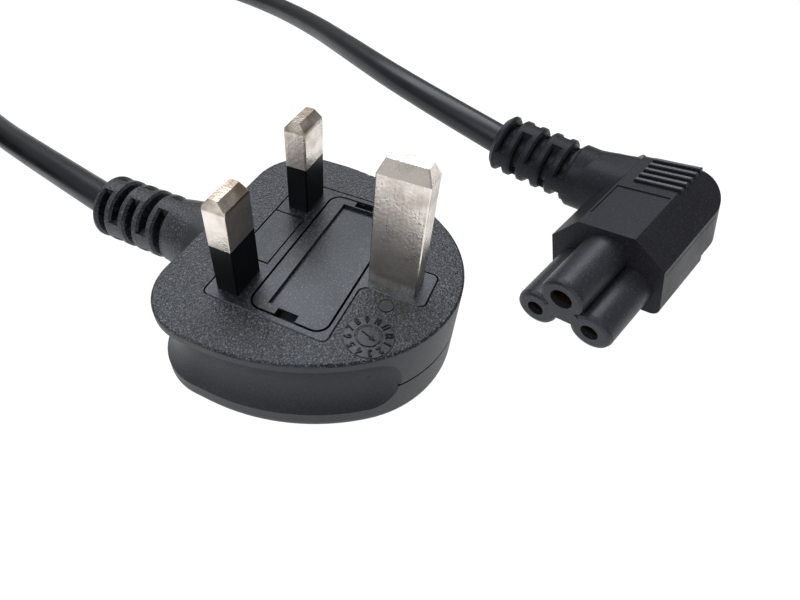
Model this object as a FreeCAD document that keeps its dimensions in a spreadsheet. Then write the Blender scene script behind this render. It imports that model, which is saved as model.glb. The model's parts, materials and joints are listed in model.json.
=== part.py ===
"""A moulded British three-pin plug on its lead, with the right-angle three-pole appliance connector.

The plug lies on its back with its pins up. The origin is on the surface that it lies on, under the
middle of the two line pins. +Z runs along the pins, +Y towards the earth pin, +X towards neutral.
Sizes are millimetres. The plug's pieces are drawn from the engagement face and the connector's from
the foot of its front face, and each is then placed.
"""
import FreeCAD, Part
import math
import os
import Sketcher
from FreeCAD import Placement, Rotation, Vector

# Driving dimensions: name, value, meaning
SIZES = [
    ("body_thick", 17.5, "back of the plug to its engagement face"),
    ("half_width", 24.4, "middle of the plug to its side"),
    ("cord_edge", 12.3, "line pins to the flat edge that the cord leaves"),
    ("earth_edge", 32.5, "line pins to the round edge past the earth pin"),
    ("corner_round", 10.3, "corners beside the cord"),
    ("side_round", 37.7, "long curve of each side"),
    ("shoulder", 1.0, "where the long curve starts"),
    ("face_round", 0.45, "edge round the engagement face"),
    ("back_round", 2.4, "edge round the back"),
    ("grip_lip", 1.6, "lip left between the face and each finger recess"),
    ("grip_high", 11.4, "height of each finger recess"),
    ("grip_deep", 2.1, "depth of each finger recess"),
    ("grip_start", 12.0, "recess start on the flat edge, from the middle"),
    ("seam_deep", 0.3, "mould parting line round the earth end"),
    ("seam_wide", 0.4, "width of the parting line"),
    ("seam_drop", 8.7, "face to the parting line"),
    ("pin_apart", 22.23, "line to neutral, and earth to the line between them"),
    ("pin_wide", 6.35, "broad side of a line pin"),
    ("pin_thin", 3.97, "narrow side of a line pin"),
    ("pin_long", 17.7, "face to the tip of a line pin"),
    ("pin_tip", 2.0, "height of the end bevels on a line pin"),
    ("pin_bevel", 0.6, "inset of the end bevels on a line pin"),
    ("pin_side_tip", 1.35, "height of the side bevels on a line pin"),
    ("pin_side_bevel", 1.15, "inset of the side bevels on a line pin"),
    ("pin_round", 0.25, "long edges of the pins"),
    ("sleeve_long", 9.15, "face to the end of the sleeve"),
    ("sleeve_wall", 0.6, "sleeve thickness"),
    ("sleeve_root", 1.5, "sleeve let into the pin carrier"),
    ("earth_wide", 3.97, "narrow side of the earth pin"),
    ("earth_deep", 7.92, "broad side of the earth pin"),
    ("earth_long", 22.73, "face to the tip of the earth pin"),
    ("earth_tip", 2.2, "height of the bevels on the earth pin"),
    ("earth_bevel", 0.95, "inset of the side bevels on the earth pin"),
    ("earth_end_bevel", 0.95, "inset of the end bevels on the earth pin"),
    ("tail_wide", 3.0, "pin tails in the moulding, along X"),
    ("tail_thick", 2.4, "pin tails in the moulding, along Y"),
    ("tail_drop", 14.9, "face to the end of the pin tails"),
    ("carrier_half", 16.2, "middle of the pin carrier to its side"),
    ("carrier_low", 3.8, "line pins to its edge on the cord side"),
    ("carrier_high", 18.1, "line pins to its edge on the earth side"),
    ("carrier_drop", 12.0, "thickness of the pin carrier"),
    ("carrier_round", 3.2, "corners of the pin carrier beside the earth pin"),
    ("pad_half", 3.8, "half the width of the pad round the earth pin"),
    ("pad_high", 28.3, "line pins to the far edge of that pad"),
    ("pad_round", 1.2, "corners of the pads round the pins"),
    ("panel_half", 6.2, "half the width of the panel between the line pins"),
    ("panel_high", 2.4, "line pins to the edge of that panel"),
    ("groove", 0.3, "width and depth of the grooves on the face"),
    ("fuse_row", 10.45, "line pins to the middle of the fuse"),
    ("lid_long", 29.4, "fuse carrier's lid, along X"),
    ("lid_wide", 12.8, "fuse carrier's lid, along Y"),
    ("lid_thick", 2.4, "fuse carrier's lid"),
    ("lid_round", 2.0, "corners of the lid"),
    ("lid_gap", 0.4, "running gap round the fuse carrier"),
    ("dish_long", 26.4, "sunk panel in the lid, along X"),
    ("dish_wide", 7.5, "sunk panel in the lid, along Y"),
    ("dish_deep", 0.7, "depth of the sunk panel"),
    ("notch_wide", 3.5, "prising notch at each end of the lid"),
    ("notch_long", 1.3, "notch, along X"),
    ("notch_deep", 1.4, "depth of the notch"),
    ("cheek_long", 11.6, "cheeks that hold the fuse, along X"),
    ("cheek_thick", 1.3, "thickness of a cheek"),
    ("cheek_drop", 6.2, "cheeks below the lid"),
    ("fuse_dia", 6.35, "cartridge fuse"),
    ("fuse_long", 25.4, "cartridge fuse"),
    ("cap_long", 6.0, "end cap of the fuse"),
    ("cap_wall", 0.4, "end cap's metal"),
    ("tube_bore", 3.6, "bore of the ceramic tube"),
    ("wire_dia", 0.5, "fuse element"),
    ("fuse_gap", 0.3, "fuse to what holds it"),
    ("clip_long", 5.4, "fuse clip, along X"),
    ("clip_sheet", 0.6, "fuse clip's brass sheet"),
    ("clip_high", 5.2, "cheeks of the fuse clip"),
    ("well_ends", 0.6, "room past each end of the fuse"),
    ("core_dia", 2.2, "insulated core"),
    ("core_gap", 0.35, "one core to the next where they leave the sheath"),
    ("core_drop", 13.6, "face to the cores under the pin carrier"),
    ("crimp_dia", 3.0, "crimped barrel on the end of a core"),
    ("crimp_long", 4.0, "crimped barrel"),
    ("brown_side", 7.6, "middle of the plug to the brown core"),
    ("cord_dia", 6.7, "cord sheath"),
    ("cord_drop", 7.5, "face to the middle of the cord"),
    ("relief_dia", 12.6, "rings of the strain relief"),
    ("relief_end", 39.5, "line pins to the end of the strain relief"),
    ("relief_core", 8.2, "strain relief between its rings"),
    ("relief_round", 1.0, "bevel of the free end of the strain relief"),
    ("ring_bevel", 0.45, "bevels of the rings"),
    ("ring_pitch", 3.4, "one ring to the next"),
    ("slot_wide", 1.55, "gap between two rings"),
    ("ring_first", 1.9, "ring at the free end"),
    ("web_wide", 3.4, "web that joins two rings"),
    ("root_wide", 17.0, "foot of the strain relief"),
    ("root_high", 13.6, "foot of the strain relief"),
    ("root_long", 9.0, "flared part of the strain relief"),
    ("sheath_end", 18.0, "line pins to where the sheath is stripped"),
    ("head_wide", 20.2, "connector's block"),
    ("head_high", 15.6, "height of the block"),
    ("head_foot", 2.0, "lower corners of the block"),
    ("head_long", 27.0, "front of the block to its rear"),
    ("head_curve", 8.0, "rear corner seen from above"),
    ("head_step", 15.5, "front of the block to the step under it"),
    ("step_high", 2.7, "height of the step under the rear"),
    ("neck_out", 17.0, "middle of the block to the foot of its strain relief"),
    ("tube_long", 13.8, "three tubes in front of the block"),
    ("tube_dia", 7.3, "line and neutral tubes"),
    ("tube_earth", 7.9, "earth tube"),
    ("pole_apart", 10.0, "line and neutral contacts"),
    ("pole_high", 5.2, "line and neutral contacts above the block's foot"),
    ("pole_earth", 10.3, "earth contact above the block's foot"),
    ("hole_dia", 3.0, "mouth of a line or neutral contact"),
    ("hole_earth", 3.9, "mouth of the earth contact"),
    ("lip_long", 1.2, "plastic lip in front of the contacts"),
    ("contact_deep", 12.0, "depth of a contact's bore"),
    ("contact_wall", 0.4, "sheet of the contacts"),
    ("socket_deep", 5.0, "contact carrier let into the block"),
    ("tube_round", 0.8, "front edges of the three tubes"),
    ("head_bevel", 5.1, "bevels along the block's top"),
    ("foot_round", 1.8, "block's edges along its underside"),
    ("head_crown", 4.6, "block's edge between its top and its rear"),
    ("panel_wide", 9.3, "panel let into the block's top, across"),
    ("panel_long", 9.5, "panel let into the block's top, along"),
    ("panel_from", 3.5, "block's front face to that panel"),
    ("panel_deep", 0.25, "panel let into the block's top"),
    ("neck_reach", 7.0, "strain relief's middle to the front of its foot"),
    ("neck_sunk", 5.6, "foot of the strain relief let into the block"),
    ("ridge_mid", 1.3, "middle of the block to the middle of the ridges"),
    ("relief_side", 20.5, "front of the block to its strain relief's middle"),
    ("relief_high", 9.3, "middle of that strain relief above the block's foot"),
    ("bend_out", 2.9, "block's side to where the strain relief bends"),
    ("bend_rise", 16.3, "degrees that the cord bends the strain relief up"),
    ("bend_swing", 5.7, "degrees that the cord bends the strain relief forward"),
    ("relief_reach", 22.0, "that bend to the strain relief's free end"),
    ("ridge_count", 5, "finger ridges on the block"),
    ("ridge_pitch", 1.8, "one finger ridge to the next"),
    ("ridge_long", 8.2, "length of a finger ridge"),
    ("ridge_proud", 0.45, "height of a finger ridge"),
    ("ridge_start", 15.2, "front of the block to the first ridge"),
    ("head_x", -27.75, "front foot of the block in the plug's frame"),
    ("head_y", 54.32, "front foot of the block in the plug's frame"),
    ("head_z", 2.42, "front foot of the block above the surface"),
    ("head_yaw", 69.6, "turn of the connector about Z, degrees"),
    ("head_nod", 7.5, "nose of the connector down, degrees"),
    ("head_lean", 14.0, "connector leaning on its strain relief, degrees"),
    ("coil_mid", 35.0, "middle of the coil's turns"),
    ("coil_columns", 2, "turns side by side"),
    ("coil_layers", 3, "turns on each other"),
    ("coil_x", 14.3, "middle of the coil"),
    ("coil_y", -135.0, "middle of the coil"),
]

# Route of the cord on the surface, from the plug to the coil and from the coil to the connector.
# Its points are chosen by hand. The first and last ones come from the strain reliefs and the coil.
NEAR_ROUTE = [(-5.8, -67.0, 9.0), (-13.1, -94.4, 6.2), (-22.5, -119.7, 3.4)]
FAR_ROUTE = [(-28.2, -161.8, 7.3), (-46.9, -185.7, 3.5), (-80.8, -195.7, 3.4), (-116.1, -185.7, 3.4),
             (-136.8, -155.4, 3.4), (-137.4, -115.7, 3.4), (-125.8, -81.3, 4.7), (-105.9, -50.4, 8.4),
             (-84.5, -24.2, 12.0), (-67.5, -0.6, 13.6)]


doc = FreeCAD.newDocument("uk_three_pin_plug")
sheet = doc.addObject("Spreadsheet::Sheet", "Sizes")
for row, (alias, value, meaning) in enumerate(SIZES, start=1):
    sheet.set(f"A{row}", alias)
    sheet.set(f"B{row}", str(value))
    sheet.setAlias(f"B{row}", alias)
    sheet.set(f"C{row}", meaning)
sums = doc.addObject("Spreadsheet::Sheet", "Sums")
doc.recompute()

nodes = []


def size(alias):
    """A driving dimension, as the sheet holds it."""
    return float(sheet.get(alias))


def linked(expression):
    """An expression with each driving dimension's name led back to the sheet."""
    names = sorted((name for name, _, _ in SIZES), key=len, reverse=True)
    out, word = "", ""
    for letter in expression + " ":
        if letter.isalnum() or letter == "_":
            word += letter
            continue
        out += f"Sizes.{word}" if word in names else word
        out += letter
        word = ""
    return out.strip()


def bind(thing, **sizes):
    """Ties properties of an object to expressions of the driving dimensions."""
    for name, expression in sizes.items():
        thing.setExpression(name.replace("__", "."), linked(expression))
    return thing


def primitive(kind, label, **sizes):
    """A Part primitive whose sizes and place follow the sheet."""
    return bind(doc.addObject(f"Part::{kind}", label), **sizes)


def plane(body, role):
    """One of a body's own origin planes."""
    return next(feature for feature in body.Origin.OriginFeatures if feature.Role == role)


def sketch_on(body, label, role="XY_Plane", offset="0"):
    """An empty sketch on one of the body's planes, lifted by an expression."""
    sketch = body.newObject("Sketcher::SketchObject", label)
    sketch.AttachmentSupport = (plane(body, role), "")
    sketch.MapMode = "FlatFace"
    bind(sketch, AttachmentOffset__Base__z=offset)
    return sketch


def name_size(sketch, constraint, name, expression):
    """Adds a dimension to a sketch and ties it to the sheet."""
    index = sketch.addConstraint(constraint)
    sketch.renameConstraint(index, name)
    sketch.setExpression(f"Constraints.{name}", linked(expression))


def square_sketch(body, label, left, right, low, high, offset="0", role="XY_Plane"):
    """A rectangle. Its sides are expressions."""
    sketch = sketch_on(body, label, role, offset)
    x0, x1, y0, y1 = (evaluate(each) for each in (left, right, low, high))
    corners = [(x0, y0), (x1, y0), (x1, y1), (x0, y1)]
    for a, b in zip(corners, corners[1:] + corners[:1]):
        sketch.addGeometry(Part.LineSegment(Vector(*a, 0), Vector(*b, 0)))
    for side in range(4):
        sketch.addConstraint(Sketcher.Constraint("Coincident", side, 2, (side + 1) % 4, 1))
        kind = "Vertical" if side % 2 else "Horizontal"
        sketch.addConstraint(Sketcher.Constraint(kind, side))
    name_size(sketch, Sketcher.Constraint("DistanceX", -1, 1, 0, 1, x0), "left", left)
    name_size(sketch, Sketcher.Constraint("DistanceY", -1, 1, 0, 1, y0), "low", low)
    name_size(sketch, Sketcher.Constraint("DistanceX", -1, 1, 2, 1, x1), "right", right)
    name_size(sketch, Sketcher.Constraint("DistanceY", -1, 1, 2, 1, y1), "high", high)
    return sketch


def rounded_sketch(body, label, left, right, low, high, corner, offset="0", role="XY_Plane"):
    """A rectangle with round corners. Its sides and its corner are expressions."""
    sketch = sketch_on(body, label, role, offset)
    x0, x1, y0, y1, r = (evaluate(each) for each in (left, right, low, high, corner))
    corners = [(x1 - r, y0 + r, 270), (x1 - r, y1 - r, 0), (x0 + r, y1 - r, 90), (x0 + r, y0 + r, 180)]
    for x, y, start in corners:
        circle = Part.Circle(Vector(x, y, 0), Vector(0, 0, 1), r)
        sketch.addGeometry(Part.ArcOfCircle(circle, math.radians(start), math.radians(start + 90)))
    ends = [((x0 + r, y0), (x1 - r, y0)), ((x1, y0 + r), (x1, y1 - r)),
            ((x1 - r, y1), (x0 + r, y1)), ((x0, y1 - r), (x0, y0 + r))]
    for a, b in ends:
        sketch.addGeometry(Part.LineSegment(Vector(*a, 0), Vector(*b, 0)))
    for side in range(4):
        sketch.addConstraint(Sketcher.Constraint("Tangent", 4 + side, 2, side, 1))
        sketch.addConstraint(Sketcher.Constraint("Tangent", side, 2, 4 + (side + 1) % 4, 1))
    for side, kind in ((4, "Horizontal"), (5, "Vertical"), (6, "Horizontal"), (7, "Vertical")):
        sketch.addConstraint(Sketcher.Constraint(kind, side))
    name_size(sketch, Sketcher.Constraint("Radius", 0, r), "corner", corner)
    name_size(sketch, Sketcher.Constraint("DistanceX", -1, 1, 5, 1, x1), "right", right)
    name_size(sketch, Sketcher.Constraint("DistanceY", -1, 1, 6, 1, y1), "high", high)
    name_size(sketch, Sketcher.Constraint("DistanceX", -1, 1, 7, 1, x0), "left", left)
    name_size(sketch, Sketcher.Constraint("DistanceY", -1, 1, 4, 1, y0), "low", low)
    for other in (1, 2, 3):
        sketch.addConstraint(Sketcher.Constraint("Equal", 0, other))
    return sketch


def evaluate(expression):
    """The value of an expression of the driving dimensions, worked out by the sheet."""
    sums.set("A1", "=" + linked(expression))
    sums.recompute()
    return float(sums.get("A1"))


def pad(body, sketch, label, length, down=False):
    """A pad of a sketch, its length an expression."""
    feature = body.newObject("PartDesign::Pad", label)
    feature.Profile = sketch
    feature.Reversed = down
    return bind(feature, Length=length)


def pocket(body, sketch, label, depth, up=False):
    """A pocket of a sketch, its depth an expression."""
    feature = body.newObject("PartDesign::Pocket", label)
    feature.Profile = sketch
    feature.Reversed = up
    return bind(feature, Length=depth)


def loft(body, sketches, label):
    """A loft through sketches, in their order."""
    feature = body.newObject("PartDesign::AdditiveLoft", label)
    feature.Profile = sketches[0]
    feature.Sections = sketches[1:]
    feature.Ruled = True
    return feature


def shaped(label, shape):
    """A feature that holds a shape made with Part's own functions."""
    feature = doc.addObject("Part::Feature", label)
    feature.Shape = shape
    return feature


def joined(label, pieces):
    """One solid from several that meet."""
    feature = doc.addObject("Part::MultiFuse", label)
    feature.Shapes = pieces
    feature.Refine = True
    return feature


def without(label, base, tools):
    """A solid less what is let into it, one piece after another."""
    for tool in tools:
        feature = doc.addObject("Part::Cut", f"{label}_less_{tool.Name}")
        feature.Base = base
        feature.Tool = tool
        base = feature
    feature.Label = label
    return feature


X_AXIS, Y_AXIS, Z_AXIS = Vector(1, 0, 0), Vector(0, 1, 0), Vector(0, 0, 1)


def keep(label, piece):
    """Lists a finished sub-part. Its label names its file."""
    piece.Label = label
    nodes.append(piece)
    return piece



# Shared forms


def disc_sketch(body, label, diameters, x="0", y="0", offset="0", role="XY_Plane"):
    """Concentric circles about a point. Their diameters are expressions."""
    sketch = sketch_on(body, label, role, offset)
    for number, diameter in enumerate(diameters):
        middle = Vector(evaluate(x), evaluate(y), 0)
        radius = evaluate(diameter) / 2
        circle = sketch.addGeometry(Part.Circle(middle, Z_AXIS, radius))
        name_size(sketch, Sketcher.Constraint("Diameter", circle, 2 * radius), f"round{number}", diameter)
        name_size(sketch, Sketcher.Constraint("DistanceX", -1, 1, circle, 3, middle.x), f"across{number}", x)
        name_size(sketch, Sketcher.Constraint("DistanceY", -1, 1, circle, 3, middle.y), f"along{number}", y)
    return sketch


def edges_where(shape, test):
    """Names of the edges whose every vertex passes a test."""
    return [f"Edge{number}" for number, edge in enumerate(shape.Edges, start=1)
            if all(test(vertex.Point) for vertex in edge.Vertexes)]


def fillet(body, label, radius, test):
    """Rounds the edges of the body's last feature that pass a test."""
    body.recompute(True)
    last = body.Tip
    feature = body.newObject("PartDesign::Fillet", label)
    feature.Base = (last, edges_where(last.Shape, test))
    return bind(feature, Radius=radius)


def chamfer(body, label, width, test):
    """Bevels the edges of the body's last feature that pass a test."""
    body.recompute(True)
    last = body.Tip
    feature = body.newObject("PartDesign::Chamfer", label)
    feature.Base = (last, edges_where(last.Shape, test))
    return bind(feature, Size=width)


def turned(body, sketch, label):
    """A sketch turned about its own upright axis."""
    feature = body.newObject("PartDesign::Revolution", label)
    feature.Profile = sketch
    feature.ReferenceAxis = (sketch, ["V_Axis"])
    feature.Angle = 360
    return feature


def near(a, b):
    """Two lengths that are one length."""
    return abs(a - b) < 1e-4


def outline_sketch(body, label, sides, corner, offset):
    """A rectangle, its sides (left, right, low, high), with round corners where corner isn't None."""
    if corner is None:
        return square_sketch(body, f"{label}_sketch", *sides, offset)
    return rounded_sketch(body, f"{label}_sketch", *sides, corner, offset)


def box_pad(body, label, sides, corner, offset, length, down=False):
    """A pad of a rectangle."""
    return pad(body, outline_sketch(body, label, sides, corner, offset), label, length, down)


def box_pocket(body, label, sides, corner, offset, depth, up=False):
    """A pocket of a rectangle."""
    return pocket(body, outline_sketch(body, label, sides, corner, offset), label, depth, up)


def corner_sketch(body, label, corners, offset="0", role="XY_Plane"):
    """A closed outline of straight sides. Each corner is a pair of expressions."""
    sketch = sketch_on(body, label, role, offset)
    spots = [(evaluate(x), evaluate(y)) for x, y in corners]
    for a, b in zip(spots, spots[1:] + spots[:1]):
        sketch.addGeometry(Part.LineSegment(Vector(*a, 0), Vector(*b, 0)))
    for side, ((x, y), (across, along)) in enumerate(zip(spots, corners)):
        sketch.addConstraint(Sketcher.Constraint("Coincident", side, 2, (side + 1) % len(spots), 1))
        name_size(sketch, Sketcher.Constraint("DistanceX", -1, 1, side, 1, x), f"across{side}", across)
        name_size(sketch, Sketcher.Constraint("DistanceY", -1, 1, side, 1, y), f"along{side}", along)
    return sketch


def new_body(label, place):
    """An empty body, placed."""
    body = doc.addObject("PartDesign::Body", label)
    body.Placement = place
    return body


def bent_wire(points):
    """Straight runs joined by tangent arcs, each as large as its runs allow."""
    spots = [Vector(*point) for point in points]
    edges, start = [], spots[0]
    for before, corner, after in zip(spots, spots[1:], spots[2:]):
        come, leave = (before - corner).normalize(), (after - corner).normalize()
        turn = math.pi - come.getAngle(leave)
        shorter = min((before - corner).Length, (after - corner).Length)
        reach = ARC_SHARE * shorter
        radius = reach / math.tan(turn / 2)
        middle = corner + (come + leave).normalize() * (radius / math.cos(turn / 2))
        first, last = corner + come * reach, corner + leave * reach
        top = middle + (corner - middle).normalize() * radius
        edges.append(Part.LineSegment(start, first).toShape())
        edges.append(Part.Arc(first, top, last).toShape())
        start = last
        radii.append(radius)
    edges.append(Part.LineSegment(start, spots[-1]).toShape())
    return Part.Wire(edges)


ARC_SHARE = 0.45
radii = []


def swept(wire, diameter, corners):
    """A round bar along a wire, its volume checked against its section times its length."""
    first = wire.Edges[0]
    start, heading = first.valueAt(first.FirstParameter), first.tangentAt(first.FirstParameter)
    ring = Part.Wire([Part.makeCircle(diameter / 2, start, heading)])
    bar = wire.makePipeShell([ring], True, False, corners)
    ideal = math.pi * diameter ** 2 / 4 * wire.Length
    if abs(bar.Volume / ideal - 1) > 0.01:
        raise ValueError(f"a swept bar has {bar.Volume:.1f} mm3, and its length makes {ideal:.1f}")
    return bar


def tube_along(points, diameter):
    """A round bar along bent runs, and the length of its middle line."""
    wire = bent_wire(points)
    return swept(wire, diameter, SMOOTH), wire.Length


def folded_bar(points, diameter):
    """A round bar along straight runs that meet at mitres."""
    return swept(Part.makePolygon([Vector(*point) for point in points]), diameter, MITRED)


SMOOTH, MITRED = 0, 1


def spun(points, degrees=360):
    """A closed outline in the XZ plane, turned about Z."""
    outline = Part.makePolygon([Vector(x, 0, z) for x, z in points + points[:1]])
    return Part.Face(outline).revolve(Vector(0, 0, 0), Z_AXIS, degrees)


# Moulded strain relief: Z runs from its free end towards the housing


def strain_relief(label, place, length, stripped):
    """Rings joined by webs that change sides, round an inner core, with the sheath's bore."""
    body = new_body(label, place)
    rim, low = "relief_dia/2", "relief_dia/2 - ring_bevel"
    corners = [("0", "0"), ("relief_dia/2 - relief_round", "0"), (rim, "relief_round")]
    for gap in range(GAPS):
        near_side, far_side = f"ring_first + {gap}*ring_pitch", f"ring_first + {gap}*ring_pitch + slot_wide"
        corners += [(rim, f"{near_side} - ring_bevel"), (low, near_side),
                    (low, far_side), (rim, f"{far_side} + ring_bevel")]
    corners += [(rim, length), ("0", length)]
    turned(body, corner_sketch(body, f"{label}_rings", corners, role="XZ_Plane"), f"{label}_bar")
    reach = "relief_dia/2 + 1"
    for gap in range(GAPS):
        from_end = f"ring_first + {gap}*ring_pitch"
        for side in (-1, 1):
            inner, outer = f"{side}*web_wide/2", f"{side}*({reach})"
            span = [inner, outer] if side > 0 else [outer, inner]
            across = [f"-({reach})", reach]
            sides = span + across if gap % 2 == 0 else across + span
            cut_name = f"{label}_gap{gap}_{side + 1}"
            box_pocket(body, cut_name, sides, None, from_end, "slot_wide", up=True)
    pad(body, disc_sketch(body, f"{label}_middle", ["relief_core"], offset="ring_first/2"),
        f"{label}_core", f"{length} - ring_first/2")
    pocket(body, disc_sketch(body, f"{label}_sheath", ["cord_dia"]), f"{label}_bore", stripped, up=True)
    return body


GAPS = 5

# The plug's overmoulding

TOP_MIDDLE = ("((half_width-side_round)^2 + shoulder^2 - (side_round-earth_edge)^2)"
              "/(2*(side_round-earth_edge+shoulder))")
TOP_ROUND = f"earth_edge - {TOP_MIDDLE}"


def side_joint():
    """Where the long curve of the right side meets the round earth end."""
    middle = Vector(size("half_width") - size("side_round"), size("shoulder"), 0)
    top = Vector(0, evaluate(TOP_MIDDLE), 0)
    return middle, top, top + (top - middle).normalize() * evaluate(TOP_ROUND)


def plug_outline(body):
    """The face's outline: a flat cord edge, two corners, two long curves and a round earth end."""
    sketch = sketch_on(body, "face_outline")
    middle, top, joint = side_joint()
    half, edge, corner = size("half_width"), size("cord_edge"), size("corner_round")
    turn = math.atan2(joint.y - middle.y, joint.x - middle.x)
    rise = math.atan2(joint.y - top.y, joint.x - top.x)
    sides = size("side_round")

    def arc(x, y, radius, start, end):
        circle = Part.Circle(Vector(x, y, 0), Z_AXIS, radius)
        return sketch.addGeometry(Part.ArcOfCircle(circle, start, end))

    def line(x0, y0, x1, y1):
        return sketch.addGeometry(Part.LineSegment(Vector(x0, y0, 0), Vector(x1, y1, 0)))

    low = -edge + corner
    chain = [line(-half + corner, -edge, half - corner, -edge),
             arc(half - corner, low, corner, -math.pi / 2, 0),
             line(half, low, half, middle.y),
             arc(middle.x, middle.y, sides, 0, turn),
             arc(0, top.y, evaluate(TOP_ROUND), rise, math.pi - rise),
             arc(-middle.x, middle.y, sides, math.pi - turn, math.pi),
             line(-half, middle.y, -half, low),
             arc(-half + corner, low, corner, math.pi, 1.5 * math.pi)]
    for one, following in zip(chain, chain[1:] + chain[:1]):
        sketch.addConstraint(Sketcher.Constraint("Tangent", one, 2, following, 1))
    flat, right_corner, right, right_side, end, left_side, left, left_corner = chain
    sketch.addConstraint(Sketcher.Constraint("Horizontal", flat))
    sketch.addConstraint(Sketcher.Constraint("Vertical", right))
    sketch.addConstraint(Sketcher.Constraint("Vertical", left))
    sketch.addConstraint(Sketcher.Constraint("Equal", right_corner, left_corner))
    sketch.addConstraint(Sketcher.Constraint("Equal", right_side, left_side))
    name_size(sketch, Sketcher.Constraint("Radius", right_corner, corner), "corner", "corner_round")
    name_size(sketch, Sketcher.Constraint("Radius", right_side, sides), "side", "side_round")
    name_size(sketch, Sketcher.Constraint("DistanceY", -1, 1, flat, 1, -edge), "cord", "-cord_edge")
    name_size(sketch, Sketcher.Constraint("DistanceX", -1, 1, right, 1, half), "right", "half_width")
    name_size(sketch, Sketcher.Constraint("DistanceX", -1, 1, left, 1, -half), "left", "-half_width")
    name_size(sketch, Sketcher.Constraint("DistanceY", -1, 1, right, 2, middle.y), "turn", "shoulder")
    name_size(sketch, Sketcher.Constraint("DistanceY", -1, 1, left, 1, middle.y), "turn_left", "shoulder")
    name_size(sketch, Sketcher.Constraint("Radius", end, evaluate(TOP_ROUND)), "end", TOP_ROUND)
    return sketch


def finger_recess():
    """One recess: a hollow section led round the corner and along the side, with a round dish at each end."""
    middle, top, joint = side_joint()
    half, edge, corner = size("half_width"), size("cord_edge"), size("corner_round")
    tall, deep = size("grip_high"), size("grip_deep")
    level = size("body_thick") - size("grip_lip") - tall / 2
    low = -edge + corner
    lean = corner * math.sqrt(0.5)
    turn = math.atan2(joint.y - middle.y, joint.x - middle.x) / 2
    halfway = middle + Vector(math.cos(turn), math.sin(turn), 0) * size("side_round")
    start = Vector(size("grip_start"), -edge, level)
    corner_from, corner_to = Vector(half - corner, -edge, level), Vector(half, low, level)
    side_from, side_to = Vector(half, middle.y, level), Vector(joint.x, joint.y, level)
    route = Part.Wire([
        Part.LineSegment(start, corner_from).toShape(),
        Part.Arc(corner_from, Vector(half - corner + lean, low - lean, level), corner_to).toShape(),
        Part.LineSegment(corner_to, side_from).toShape(),
        Part.Arc(side_from, Vector(halfway.x, halfway.y, level), side_to).toShape()])
    clear = 2 * deep
    bow = (tall * tall / 4 + deep * deep) / (2 * deep)
    lens = Part.Arc(Vector(0, 0, -tall / 2), Vector(0, deep, 0), Vector(0, 0, tall / 2)).toShape()
    outer = Part.makePolygon([Vector(0, 0, tall / 2), Vector(0, -clear, tall / 2),
                              Vector(0, -clear, -tall / 2), Vector(0, 0, -tall / 2)])
    section = Part.Wire(Part.__sortEdges__([lens] + outer.Edges))
    section.Placement = Placement(start, Rotation())
    pipe = route.makePipeShell([section], True, False)
    spread = math.asin(tall / 2 / bow) / 2
    lens_mid = Vector(bow * math.sin(spread), 0, bow - deep - bow * math.cos(spread))
    half_lens = Part.Arc(Vector(0, 0, -deep), lens_mid, Vector(tall / 2, 0, 0)).toShape()
    rim = Part.makePolygon([Vector(tall / 2, 0, 0), Vector(tall / 2, 0, clear), Vector(0, 0, clear),
                            Vector(0, 0, -deep)])
    dish = Part.Face(Part.Wire(Part.__sortEdges__([half_lens] + rim.Edges)))
    dish = dish.revolve(Vector(), Z_AXIS, 360)
    ends = []
    for spot, outward in ((start, Vector(0, -1, 0)), (side_to, (joint - middle).normalize())):
        end = dish.copy()
        end.Placement = Placement(spot, Rotation(Z_AXIS, outward))
        ends.append(end)
    return pipe.fuse(ends)


def parting_line():
    """A fine groove round the earth end, from one finger recess to the other."""
    _, top, joint = side_joint()
    outline = evaluate(TOP_ROUND)
    level = size("body_thick") - size("seam_drop")
    inner, outer = outline - size("seam_deep"), outline + size("seam_deep")
    low, high = level - size("seam_wide") / 2, level + size("seam_wide") / 2
    start = math.degrees(math.atan2(joint.y - top.y, joint.x - top.x) + SEAM_PAST * size("grip_high") / outline)
    section = Part.Face(Part.makePolygon([Vector(inner, 0, low), Vector(outer, 0, low), Vector(outer, 0, high),
                                          Vector(inner, 0, high), Vector(inner, 0, low)]))
    ring = section.revolve(Vector(), Z_AXIS, 180 - 2 * start)
    ring.Placement = Placement(Vector(0, top.y, 0), Rotation(Z_AXIS, start))
    return ring


SEAM_PAST = 0.4
plug_place = Placement(Vector(0, 0, size("body_thick")), Rotation())
moulding = new_body("plug_moulding", plug_place)
pad(moulding, plug_outline(moulding), "moulding_block", "body_thick", down=True)
fillet(moulding, "moulding_back", "back_round", lambda p: near(p.z, -size("body_thick")))
fillet(moulding, "moulding_face", "face_round", lambda p: near(p.z, 0))
right_recess = finger_recess()
left_recess = right_recess.mirror(Vector(), X_AXIS)
recesses = [shaped("recess_right", right_recess), shaped("recess_left", left_recess),
            shaped("parting_groove", parting_line())]

# Strain relief and its flared foot. The foot and the ringed bar are one moulding with the plug.
relief_place = Placement(Vector(0, -size("relief_end"), size("body_thick") - size("cord_drop")),
                         Rotation(X_AXIS, -90))
plug_relief = strain_relief("plug_relief", relief_place, "relief_end - cord_edge + 2*face_round",
                            "relief_end - sheath_end")
foot = new_body("relief_foot", Placement(Vector(0, 0, size("body_thick") - size("cord_drop")), Rotation()))
foot_wide = rounded_sketch(foot, "foot_wide", "-root_wide/2", "root_wide/2", "-root_high/2", "root_high/2",
                           "root_high/2 - groove", "cord_edge - 2*face_round", "XZ_Plane")
foot_narrow = rounded_sketch(foot, "foot_narrow", "-relief_dia/2", "relief_dia/2", "-relief_dia/2",
                             "relief_dia/2", "relief_dia/2 - groove", "cord_edge + root_long", "XZ_Plane")
loft(foot, [foot_wide, foot_narrow], "foot_flare")

# Pins and their sleeves


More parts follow.
